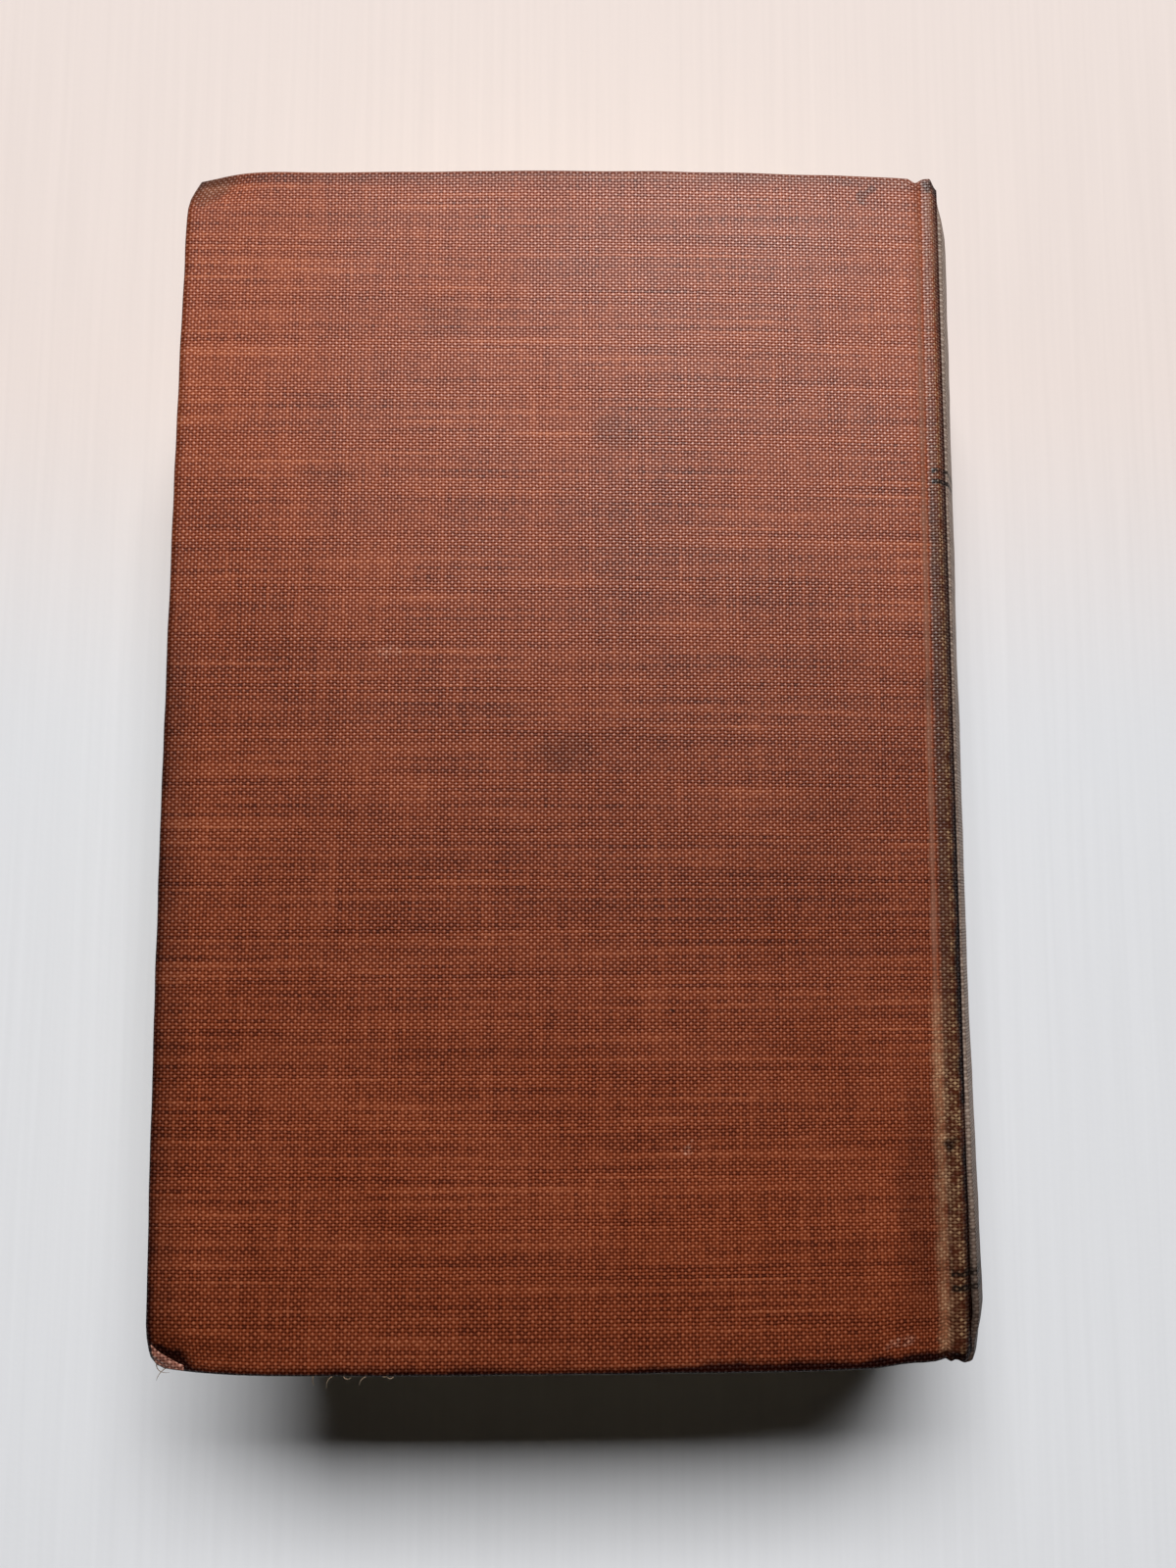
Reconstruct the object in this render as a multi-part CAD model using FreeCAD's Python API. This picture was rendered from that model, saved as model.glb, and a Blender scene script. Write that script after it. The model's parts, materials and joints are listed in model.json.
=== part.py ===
"""A cloth-bound hardback book with a rounded spine, lying on its front cover.

The spine runs along Y on the +X side, the head of the book is at +Y and the fore-edge at -X.
Both boards are covered in cloth that is turned in over their edges, and a paper pastedown
covers the turn-ins. The sewn pages are rounded at the back and hollow at the fore-edge, with
two shoulders beside the boards. Mull and paper line the back of the pages, and a card liner
stiffens the cloth of the spine, which stands clear of the pages as a hollow back.

The origin is under the middle of the book, on the surface that it lies on. Sizes are in
millimetres. The depth of a layer in a cover is measured inwards from the cover's outer face.
"""

import FreeCAD
import Part
import math
import os

# Whole book
cover_height = 197.0
cover_reach = 126.8  # from the fore-edge of a cover to its joint
book_thickness = 46.0  # over both covers at the joint
crown = 1.4  # rise of the back cover between its fore-edge and its joint
head_corner = 7.0  # radius of the worn corners at head and foot of the fore-edge
foot_corner = 4.5

# Case
cloth = 0.4
board = 2.6
liner = 0.4
turn_in = 15.0
board_setback = 1.3  # from the edge of a board to the joint
liner_margin = 2.0  # from the ridge to the edge of the liner

# Joint and spine
groove_depth = 0.6
ridge_width = 2.4  # from the joint to the edge of the spine
ridge_drop = 0.3  # of the ridge's top below the cover's outer face
ridge_bend = 0.8  # inner radius of the cloth at the ridge
spine_round = 6.3

# Pages and endpapers
paper = 0.15
square = 3.0  # how far a cover stands out past the pages
fore_edge_hollow = 5.5
cover_clearance = 0.3  # between the curved back cover and the pages
shoulder_setback = 0.4  # from the joint to the shoulders
shoulder_clearance = 0.2  # between the shoulders and the cloth over them

# Linings and sewing of the pages' back
hollow = 0.2
lining = 0.15
mull = 0.2
mull_flange = 25.0  # width of the mull that is glued to a board
mull_margin = 12.0  # from the head and foot of the pages to the mull
lining_margin = 3.0  # from the head and foot of the pages to the paper lining
stitch_rows = 5
stitch_width = 0.9
stitch_depth = 0.4
stitch_fit = 0.05  # between a row of stitches and its groove
stitch_margin = 16.0  # from the head and foot of the pages to the outer rows
stitch_end_margin = 3.0  # from the shoulders to the ends of a row

# Worked out from the sizes above
half_height = cover_height / 2
half_pages = half_height - square
half_mull = half_pages - mull_margin
half_lining = half_pages - lining_margin
half_window = half_height - turn_in
middle_z = book_thickness / 2
ridge_height = middle_z - ridge_drop  # above the middle of the spine, as the next three
groove_height = middle_z - groove_depth
shoulder_height = groove_height - 2 * cloth - shoulder_clearance
liner_height = ridge_height - liner_margin
spine_radius = (ridge_height**2 + spine_round**2) / (2 * spine_round)
liner_outer = spine_radius - cloth
liner_inner = liner_outer - liner
lining_outer = liner_inner - cloth - hollow
mull_outer = lining_outer - lining
pages_back = mull_outer - mull
joint_x = (cover_reach - ridge_width - spine_round) / 2
fore_x = joint_x - cover_reach
board_x = joint_x - board_setback
flange_x = board_x - mull_flange
pages_x = fore_x + square
shoulder_x = joint_x + shoulder_setback
spine_centre = joint_x + ridge_width + spine_round - spine_radius
board_inner = cloth + board
cover_inner = board_inner + cloth
pastedown_inner = cover_inner + paper
through = 10.0  # how far a cutting shape runs past what it cuts


def box(x0, x1, y0, y1, z0, z1):
    """A box between two corners."""
    return Part.makeBox(x1 - x0, y1 - y0, z1 - z0, FreeCAD.Vector(x0, y0, z0))


def prism(edges, y0, y1):
    """A closed outline in the XZ plane, drawn out along Y from y0 to y1."""
    face = Part.Face(Part.Wire([edge.toShape() for edge in edges]))
    face.translate(FreeCAD.Vector(0, y0, 0))
    return face.extrude(FreeCAD.Vector(0, y1 - y0, 0))


def point(x, height):
    """A point of a section, with its height counted from the middle of the spine."""
    return FreeCAD.Vector(x, 0, middle_z + height)


def rounded_block(inset):
    """A tall block over a cover's outline, moved in by inset at its three free edges."""
    x0 = fore_x + inset
    half = half_height - inset
    block = box(x0, joint_x, -half, half, -through, book_thickness + through)
    for y, radius in ((half, head_corner), (-half, foot_corner)):
        upright = [
            edge
            for edge in block.Edges
            if edge.CenterOfMass.isEqual(FreeCAD.Vector(x0, y, middle_z), cloth / 2)
        ]
        block = block.makeFillet(max(radius, 2 * cloth) - inset, upright)
    return block


class Cover:
    """One cover: the heights of its layers, and the pieces that are made of them."""

    def __init__(self, outer_z, inwards, rise):
        self.outer_z = outer_z
        self.inwards = inwards  # 1 where the pages lie above this cover, -1 where they lie below
        self.rise = rise

    def height(self, x, depth):
        """Height at x of the surface at that depth in the cover."""
        if self.rise == 0:
            return self.outer_z + self.inwards * depth
        half = cover_reach / 2
        radius = (half**2 + self.rise**2) / (2 * self.rise)
        centre_z = self.outer_z + self.rise - radius
        return centre_z + math.sqrt((radius - depth) ** 2 - (x - fore_x - half) ** 2)

    def edge(self, x0, x1, depth):
        """The section of the surface at that depth, as one edge from x0 to x1."""
        xs = (x0, (x0 + x1) / 2, x1)
        start, middle, end = [FreeCAD.Vector(x, 0, self.height(x, depth)) for x in xs]
        if self.rise == 0:
            return Part.LineSegment(start, end)
        return Part.Arc(start, middle, end)

    def layer(self, x0, x1, y0, y1, outer, inner):
        """The slab of this cover between two depths."""
        top = self.edge(x0, x1, outer)
        bottom = self.edge(x1, x0, inner)
        right = Part.LineSegment(top.EndPoint, bottom.StartPoint)
        left = Part.LineSegment(bottom.EndPoint, top.StartPoint)
        return prism([top, right, bottom, left], y0, y1)

    def slab(self, outer, inner):
        """The layer between two depths, run past the cover's three free edges."""
        past = half_height + through
        return self.layer(fore_x - through, board_x, -past, past, outer, inner)

    def board(self):
        """The greyboard."""
        return self.slab(cloth, board_inner).common(rounded_block(cloth))

    def window(self, inset, depth):
        """The room between the turn-ins, moved in by inset, from that depth inwards."""
        half = half_window - inset
        return self.layer(
            fore_x + turn_in + inset,
            board_x + through,
            -half,
            half,
            depth,
            depth + through,
        )

    def flap(self, y0, y1, layers):
        """The cloth, in one or more layers, from the board's edge down into the joint."""
        depth = layers * cloth
        groove_z = self.outer_z + self.inwards * groove_depth
        corners = [
            FreeCAD.Vector(board_x, 0, self.height(board_x, 0)),
            FreeCAD.Vector(joint_x, 0, groove_z),
            FreeCAD.Vector(joint_x, 0, groove_z + self.inwards * depth),
            FreeCAD.Vector(board_x, 0, self.height(board_x, depth)),
        ]
        sides = zip(corners, corners[1:] + corners[:1])
        return prism([Part.LineSegment(start, end) for start, end in sides], y0, y1)

    def covering(self):
        """The cloth: outer face, edges, turn-ins, and what runs on into the joint."""
        whole = self.slab(0, cover_inner).common(rounded_block(0))
        skin = whole.cut(self.board()).cut(self.window(0, board_inner))
        joint = [self.flap(-half_height, half_height, 1)]
        for y0, y1 in turned_ends():
            joint.append(self.flap(y0, y1, 2))
            joint.append(self.layer(board_x, board_x + cloth, y0, y1, cloth, cover_inner))
        return skin.multiFuse(joint).removeSplitter()

    def flange(self):
        """The part of the mull that is glued to the board."""
        return self.layer(flange_x, board_x, -half_mull, half_mull, board_inner, board_inner + mull)

    def pastedown(self):
        """The outer leaf of the endpaper, which steps down from the turn-ins to the board."""
        sheet = self.layer(pages_x, board_x, -half_pages, half_pages, board_inner, pastedown_inner)
        half = half_mull + paper
        over_mull = self.layer(
            flange_x - paper,
            board_x + through,
            -half,
            half,
            board_inner,
            board_inner + mull + paper,
        )
        turned_in = self.slab(board_inner, cover_inner).cut(self.window(0, board_inner))
        above = self.window(paper, board_inner + paper).cut(over_mull)
        return sheet.cut(turned_in).cut(self.flange()).cut(above)

    def flyleaf(self, clearance):
        """The free leaf of the endpaper, which lies on the pages under this cover."""
        outer = pastedown_inner + clearance
        return self.layer(pages_x, shoulder_x, -half_pages, half_pages, outer, outer + paper)


def turned_ends():
    """The stretches of Y at head and foot where the cloth is turned in."""
    return (-half_height, -half_window), (half_window, half_height)


def ring(outer, inner, height, y0, y1):
    """An arched strip round the spine's centre line, up to that height above and below it."""
    start = FreeCAD.Vector(spine_centre, y0, middle_z)
    along = FreeCAD.Vector(0, 1, 0)
    tube = Part.makeCylinder(outer, y1 - y0, start, along)
    tube = tube.cut(Part.makeCylinder(inner, y1 - y0, start, along))
    x1 = spine_centre + outer + through
    return tube.common(box(spine_centre, x1, y0, y1, middle_z - height, middle_z + height))


def spine_room(inset, y0, y1):
    """The room inside the spine's outline from the joint outwards, moved in by inset."""
    ridge = ridge_height - inset
    ridge_x = spine_centre + math.sqrt((spine_radius - inset) ** 2 - ridge**2)
    upper_joint = point(joint_x, groove_height - inset)
    lower_joint = point(joint_x, inset - groove_height)
    upper_ridge = point(ridge_x, ridge)
    lower_ridge = point(ridge_x, -ridge)
    apex = point(spine_centre + spine_radius - inset, 0)
    outline = [
        Part.LineSegment(lower_joint, upper_joint),
        Part.LineSegment(upper_joint, upper_ridge),
        Part.Arc(upper_ridge, apex, lower_ridge),
        Part.LineSegment(lower_ridge, lower_joint),
    ]
    room = prism(outline, y0, y1)
    corners = [edge for edge in room.Edges if abs(edge.CenterOfMass.x - ridge_x) < cloth / 2]
    along = [edge for edge in corners if edge.Length > (y1 - y0) / 2]
    return room.makeFillet(ridge_bend + 2 * cloth - inset, along)


def spine_liner():
    """The card strip that stiffens the cloth of the spine."""
    half = half_height - cloth
    return ring(liner_outer, liner_inner, liner_height, -half, half)


def spine_cloth():
    """The cloth over the spine, turned in over both ends of the liner."""
    past = half_height + through
    skin = spine_room(0, -half_height, half_height).cut(spine_room(cloth, -past, past))
    hems = []
    for y0, y1 in turned_ends():
        hems.append(spine_room(cloth, y0, y1).cut(spine_room(2 * cloth, -past, past)))
        hems.append(ring(liner_inner, liner_inner - cloth, liner_height + cloth, y0, y1))
    return skin.multiFuse(hems).cut(spine_liner()).removeSplitter()


def stitch_places():
    """Where the rows of stitches cross the back of the pages."""
    outer = half_pages - stitch_margin
    step = 2 * outer / (stitch_rows - 1)
    return [row * step - outer for row in range(stitch_rows)]


def stitch_row(y, inner, height, fit):
    """One arched row of flat-lying stitches, or the groove for it."""
    half = stitch_width / 2 + fit
    return ring(pages_back, inner - fit, height, y - half, y + half)


def sewing_thread():
    """The rows of stitches that link the sections across the back of the pages."""
    inner = pages_back - stitch_depth
    height = shoulder_height - stitch_end_margin
    return Part.makeCompound([stitch_row(y, inner, height, 0) for y in stitch_places()])


def text_block(back, front):
    """The sewn pages: rounded back with shoulders, hollow fore-edge, grooves for the stitches."""
    top = back.edge(pages_x, shoulder_x, pastedown_inner + cover_clearance + paper)
    bottom = front.edge(shoulder_x, pages_x, pastedown_inner + paper)
    tip_x = spine_centre + math.sqrt(pages_back**2 - shoulder_height**2)
    upper_inner = point(shoulder_x, shoulder_height)
    upper_tip = point(tip_x, shoulder_height)
    apex = point(spine_centre + pages_back, 0)
    lower_tip = point(tip_x, -shoulder_height)
    lower_inner = point(shoulder_x, -shoulder_height)
    hollow_middle = (top.StartPoint + bottom.EndPoint) / 2
    hollow_middle.x += fore_edge_hollow
    outline = [
        top,
        Part.LineSegment(top.EndPoint, upper_inner),
        Part.LineSegment(upper_inner, upper_tip),
        Part.Arc(upper_tip, apex, lower_tip),
        Part.LineSegment(lower_tip, lower_inner),
        Part.LineSegment(lower_inner, bottom.StartPoint),
        bottom,
        Part.Arc(bottom.EndPoint, hollow_middle, top.StartPoint),
    ]
    block = prism(outline, -half_pages, half_pages)
    for y in stitch_places():
        groove = stitch_row(y, pages_back - stitch_depth, middle_z, stitch_fit)
        block = block.cut(groove)
    return block


def main():
    """Builds every piece and writes one file for each."""
    back = Cover(book_thickness, -1, crown)
    front = Cover(0, 1, 0)
    pieces = {
        "text_block": text_block(back, front),
        "sewing_thread": sewing_thread(),
        "spine_mull": ring(mull_outer, pages_back, shoulder_height, -half_mull, half_mull),
        "spine_lining": ring(lining_outer, mull_outer, liner_height, -half_lining, half_lining),
        "spine_liner": spine_liner(),
        "spine_cloth": spine_cloth(),
        "back_flyleaf": back.flyleaf(cover_clearance),
        "front_flyleaf": front.flyleaf(0),
    }
    for name, cover in (("back", back), ("front", front)):
        pieces[f"{name}_board"] = cover.board()
        pieces[f"{name}_cover_cloth"] = cover.covering()
        pieces[f"{name}_pastedown"] = cover.pastedown()
        pieces[f"{name}_mull_flange"] = cover.flange()
    os.makedirs("parts", exist_ok=True)
    for name, shape in pieces.items():
        if not shape.isValid():
            raise ValueError(f"{name} isn't a valid solid")
        shape.exportStep(f"parts/{name}.step")


main()
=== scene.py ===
"""Dresses the worn cloth-bound hardback book, which lies on its front cover, for its renders.

Lengths are in metres. The spine runs along Y on the +X side, the head is at +Y and the fore-edge
at -X. Every piece is shaped where it lies, so each object stays at the origin.
"""

import json
import logging
import math
import random
from dataclasses import dataclass
from enum import Enum
from typing import Callable, Dict, Iterator, List, Optional, Sequence, Tuple, Union

import bmesh
import bpy
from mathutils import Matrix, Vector, noise


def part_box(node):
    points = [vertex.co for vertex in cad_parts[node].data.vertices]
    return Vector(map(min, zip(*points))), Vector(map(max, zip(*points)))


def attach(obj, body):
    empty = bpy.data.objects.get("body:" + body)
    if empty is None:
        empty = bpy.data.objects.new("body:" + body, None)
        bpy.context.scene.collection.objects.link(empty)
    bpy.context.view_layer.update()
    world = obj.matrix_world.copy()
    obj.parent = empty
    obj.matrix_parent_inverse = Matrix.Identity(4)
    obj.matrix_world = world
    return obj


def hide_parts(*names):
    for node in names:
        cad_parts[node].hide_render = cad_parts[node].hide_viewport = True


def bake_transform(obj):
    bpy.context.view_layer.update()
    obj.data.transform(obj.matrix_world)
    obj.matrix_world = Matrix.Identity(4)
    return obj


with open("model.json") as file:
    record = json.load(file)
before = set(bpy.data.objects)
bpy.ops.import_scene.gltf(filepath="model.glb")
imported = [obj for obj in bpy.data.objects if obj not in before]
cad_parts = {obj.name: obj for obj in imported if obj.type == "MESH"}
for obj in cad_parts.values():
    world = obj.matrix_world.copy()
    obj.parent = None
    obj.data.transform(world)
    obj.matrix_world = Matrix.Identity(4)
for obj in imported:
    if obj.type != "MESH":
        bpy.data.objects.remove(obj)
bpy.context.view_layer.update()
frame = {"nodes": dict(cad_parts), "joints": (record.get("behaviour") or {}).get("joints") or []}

LOG = logging.getLogger("book")
MM = 0.001
Point = Tuple[float, float]
Shaper = Callable[[Vector], Vector]
Input = Union[float, str, Sequence[float], bpy.types.Node, bpy.types.NodeSocket]


class Body(Enum):
    """The three rigid bodies of the book."""

    BLOCK = "book_block"
    BACK = "back_cover"
    FRONT = "front_cover"


def linear(code: str) -> Tuple[float, float, float, float]:
    """Turns an sRGB colour into the linear values that nodes take.

    Args:
        code: The colour as "#rrggbb".

    Returns:
        Red, green, blue and an alpha of 1.
    """
    parts = [int(code[i : i + 2], 16) / 255 for i in (1, 3, 5)]
    lit = [p / 12.92 if p <= 0.04045 else ((p + 0.055) / 1.055) ** 2.4 for p in parts]
    return lit[0], lit[1], lit[2], 1.0


def smooth(value: float, low: float, high: float) -> float:
    """Eases from 0 at low to 1 at high."""
    t = min(1.0, max(0.0, (value - low) / (high - low)))
    return t * t * (3 - 2 * t)


def wobble(x: float, y: float, wave: float, seed: float) -> float:
    """Smooth noise of about -1 to 1 over a plane, with that wavelength."""
    return noise.noise(Vector((x / wave, y / wave, seed)))


@dataclass(frozen=True)
class BookSizes:
    """Places and sizes of the book, read from the fixed frame."""

    fore_x: float
    joint_x: float
    board_x: float
    apex_x: float
    half_height: float
    thickness: float
    crown: float
    cloth: float
    board_inner: float
    cover_inner: float
    pages_x: float
    half_pages: float

    @classmethod
    def from_frame(cls) -> "BookSizes":
        """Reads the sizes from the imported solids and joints.

        Returns:
            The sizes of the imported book.
        """
        hinge = next(j for j in frame["joints"] if j["name"] == "back_cover_hinge")
        cloth_low, cloth_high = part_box("back_cover_cloth")
        board_low, board_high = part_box("front_board")
        pages_low, pages_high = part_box("text_block")
        return cls(
            fore_x=cloth_low.x,
            joint_x=hinge["pos_m"][0],
            board_x=board_high.x,
            apex_x=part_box("spine_cloth")[1].x,
            half_height=cloth_high.y,
            thickness=hinge["pos_m"][2],
            crown=cloth_high.z - hinge["pos_m"][2],
            cloth=board_low.z,
            board_inner=board_high.z,
            cover_inner=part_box("front_cover_cloth")[1].z,
            pages_x=pages_low.x,
            half_pages=pages_high.y,
        )


SIZES = BookSizes.from_frame()


class Workbench:
    """Adds primitives and runs the modelling operators on one object at a time."""

    def __init__(self, name: str) -> None:
        """Starts a piece of that name."""
        self.name = name
        self.piece: Optional[bpy.types.Object] = None

    def _take(self, scale: Sequence[float] = (1, 1, 1)) -> bpy.types.Object:
        """Names the new primitive and puts its size and place into its mesh."""
        self.piece = bpy.context.active_object
        self.piece.name = self.name
        self.piece.data.name = self.name
        self.piece.scale = scale
        bpy.ops.object.transform_apply(location=True, rotation=True, scale=True)
        return self.piece

    def grid(self, low: Point, high: Point, columns: int, rows: int) -> bpy.types.Object:
        """Adds a flat grid between two corners at height 0.

        Args:
            low: Its corner with the lowest x and y.
            high: The opposite corner.
            columns: Faces along x.
            rows: Faces along y.

        Returns:
            The new object.
        """
        bpy.ops.object.select_all(action="DESELECT")
        bpy.ops.mesh.primitive_grid_add(
            x_subdivisions=columns,
            y_subdivisions=rows,
            size=1,
            location=((low[0] + high[0]) / 2, (low[1] + high[1]) / 2, 0),
        )
        return self._take((high[0] - low[0], high[1] - low[1], 1))

    def block(self, low: Sequence[float], high: Sequence[float]) -> bpy.types.Object:
        """Adds a block between two corners.

        Args:
            low: Its lowest corner.
            high: Its highest corner.

        Returns:
            The new object.
        """
        bpy.ops.object.select_all(action="DESELECT")
        bpy.ops.mesh.primitive_cube_add(size=1, location=[(a + b) / 2 for a, b in zip(low, high)])
        return self._take([b - a for a, b in zip(low, high)])

    def rod(self, radius: float, length: float, sides: int) -> bpy.types.Object:
        """Adds a thin rod along z that starts at the origin.

        Args:
            radius: Its radius.
            length: Its length.
            sides: Faces round it.

        Returns:
            The new object.
        """
        bpy.ops.object.select_all(action="DESELECT")
        bpy.ops.mesh.primitive_cylinder_add(
            vertices=sides,
            radius=radius,
            depth=length,
            location=(0, 0, length / 2),
        )
        return self._take()

    def pick(self) -> None:
        """Selects the piece alone and makes it the active one."""
        bpy.ops.object.select_all(action="DESELECT")
        self.piece.select_set(True)
        bpy.context.view_layer.objects.active = self.piece

    def edit(self) -> None:
        """Enters edit mode with everything selected."""
        self.pick()
        bpy.ops.object.mode_set(mode="EDIT")
        bpy.ops.mesh.select_all(action="SELECT")

    def leave(self) -> None:
        """Goes back to object mode."""
        bpy.ops.object.mode_set(mode="OBJECT")

    def slice(self, places: Sequence[float], normal: Sequence[float]) -> None:
        """Cuts edge loops into the mesh on parallel planes.

        Args:
            places: Distances of the planes from the origin.
            normal: Unit normal of the planes.
        """
        self.edit()
        for place in places:
            bpy.ops.mesh.select_all(action="SELECT")
            bpy.ops.mesh.bisect(plane_co=[place * n for n in normal], plane_no=normal)
        self.leave()

    def select_border(self, wanted: Callable[[Vector], bool]) -> None:
        """In edit mode, selects the border edges whose two ends are wanted.

        Args:
            wanted: Says whether the end at a point belongs to the border.
        """
        bpy.ops.mesh.select_mode(type="EDGE")
        bpy.ops.mesh.select_all(action="DESELECT")
        mesh = bmesh.from_edit_mesh(self.piece.data)
        for edge in mesh.edges:
            if edge.is_boundary and all(wanted(v.co) for v in edge.verts):
                edge.select_set(True)
        bmesh.update_edit_mesh(self.piece.data)

    def extrude_selected(self, place: Callable[[int, Vector], Vector]) -> List[int]:
        """In edit mode, extrudes the selected edges and places the new vertices.

        Args:
            place: Gives a new vertex its place, from its index and where it was extruded.

        Returns:
            The indices of the new vertices.
        """
        bpy.ops.mesh.extrude_region_move()
        mesh = bmesh.from_edit_mesh(self.piece.data)
        mesh.verts.ensure_lookup_table()
        mesh.verts.index_update()
        fresh = [v for v in mesh.verts if v.select]
        for vertex in fresh:
            vertex.co = place(vertex.index, vertex.co)
        bmesh.update_edit_mesh(self.piece.data)
        return [v.index for v in fresh]

    def shape(self, mover: Shaper) -> None:
        """Moves every vertex, as by sculpting.

        Args:
            mover: Gives a vertex its new place.
        """
        for vertex in self.piece.data.vertices:
            vertex.co = mover(vertex.co)
        self.piece.data.update()

    def modify(self, kind: str, **settings: object) -> None:
        """Adds a modifier with its settings and applies it.

        Args:
            kind: The modifier's type.
            settings: Its settings.
        """
        self.pick()
        modifier = self.piece.modifiers.new(kind.title(), kind)
        for name, value in settings.items():
            setattr(modifier, name, value)
        bpy.ops.object.modifier_apply(modifier=modifier.name)

    def flatten_map(self, flat: Dict[int, Point]) -> None:
        """Gives the mesh a map of the flat cloth, in millimetres.

        Args:
            flat: Place of each vertex on the flat cloth, in metres.
        """
        layer = self.piece.data.uv_layers.active or self.piece.data.uv_layers.new()
        layer.name = CLOTH_MAP
        for loop in self.piece.data.loops:
            u, v = flat[loop.vertex_index]
            layer.data[loop.index].uv = (u / MM, v / MM)

    def clean(self, flip: bool = False) -> None:
        """Merges doubles and, if asked, turns the faces round.

        Args:
            flip: Whether the faces point inwards now.
        """
        self.edit()
        bpy.ops.mesh.remove_doubles(threshold=0.01 * MM)
        if flip:
            bpy.ops.mesh.flip_normals()
        self.leave()

    def recalculate(self) -> None:
        """Makes the faces of a closed shape point outwards."""
        self.edit()
        bpy.ops.mesh.normals_make_consistent(inside=False)
        self.leave()

    def soften(self, degrees: float) -> None:
        """Shades the piece smooth up to that angle between faces."""
        self.pick()
        bpy.ops.object.shade_smooth_by_angle(angle=math.radians(degrees))

    @staticmethod
    def join(name: str, parts: Sequence[bpy.types.Object]) -> bpy.types.Object:
        """Joins several meshes into one piece.

        Args:
            name: The joined piece's name.
            parts: The meshes.

        Returns:
            The joined piece.
        """
        bpy.ops.object.select_all(action="DESELECT")
        for part in parts:
            part.select_set(True)
        bpy.context.view_layer.objects.active = parts[0]
        bpy.ops.object.join()
        joined = bpy.context.active_object
        joined.name = name
        joined.data.name = name
        return joined


CLOTH_MAP = "flat_mm"
TO_MM = (1000, 1000, 1000)  # from metres


class Graph:
    """The node tree of one material, or of the world."""

    def __init__(self, owner: bpy.types.ID) -> None:
        """Starts the empty tree of a material or world."""
        owner.use_nodes = True
        self.owner = owner
        self.tree = owner.node_tree
        self.tree.nodes.clear()

    @classmethod
    def of_material(cls, name: str) -> "Graph":
        """Starts the empty tree of a new material of that name."""
        return cls(bpy.data.materials.new(name))

    def add(self, kind: str, links: Optional[dict] = None, **settings: object) -> bpy.types.Node:
        """Adds a node with its settings and its inputs.

        Args:
            kind: The node's type without its ShaderNode prefix.
            links: Input name or index to a value, to a colour as "#rrggbb", or to the node or
                output socket that feeds it.
            settings: The node's own settings.

        Returns:
            The new node.
        """
        node = self.tree.nodes.new("ShaderNode" + kind)
        for name, value in settings.items():
            setattr(node, name, value)
        for key, value in (links or {}).items():
            if isinstance(value, bpy.types.Node):
                value = value.outputs[0]
            if isinstance(value, bpy.types.NodeSocket):
                self.tree.links.new(value, node.inputs[key])
            else:
                node.inputs[key].default_value = linear(value) if isinstance(value, str) else value
        return node

    def math(self, operation: str, *values: Input, **settings: object) -> bpy.types.Node:
        """Adds an operation on numbers."""
        return self.add("Math", dict(enumerate(values)), operation=operation, **settings)

    def vector(self, operation: str, *values: Input) -> bpy.types.Node:
        """Adds an operation on vectors."""
        return self.add("VectorMath", dict(enumerate(values)), operation=operation)

    def span(
        self,
        value: Input,
        low: float,
        high: float,
        start: float = 0.0,
        end: float = 1.0,
        eased: bool = False,
    ) -> bpy.types.Node:
        """Adds a node that is start where a value is low, and end where it is high.

        Args:
            value: The value.
            low: Where the span starts.
            high: Where the span ends.
            start: The result up to low.
            end: The result from high on.
            eased: Whether the result eases in and out.

        Returns:
            The new node.
        """
        return self.add(
            "MapRange",
            {"Value": value, "From Min": low, "From Max": high, "To Min": start, "To Max": end},
            interpolation_type="SMOOTHSTEP" if eased else "LINEAR",
        )

    def mix(
        self, share: Input, under: Input, over: Input, blend_type: str = "MIX"
    ) -> bpy.types.Node:
        """Adds a share of one colour over another."""
        colours = {"Fac": share, "Color1": under, "Color2": over}
        return self.add("MixRGB", colours, blend_type=blend_type)

    def grain(
        self, place: Input, scale: float, detail: float, dimensions: str = "3D"
    ) -> bpy.types.Node:
        """Adds smooth noise of 0 to 1 that follows a place."""
        links = {"Vector": place, "Scale": scale, "Detail": detail}
        return self.add("TexNoise", links, noise_dimensions=dimensions)

    def finish(self, surface: Dict[str, Input]) -> bpy.types.Material:
        """Adds the surface shader and links it to the output.

        Args:
            surface: The shader's inputs.

        Returns:
            The finished material.
        """
        self.add("OutputMaterial", {"Surface": self.add("BsdfPrincipled", surface)})
        return self.owner


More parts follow.
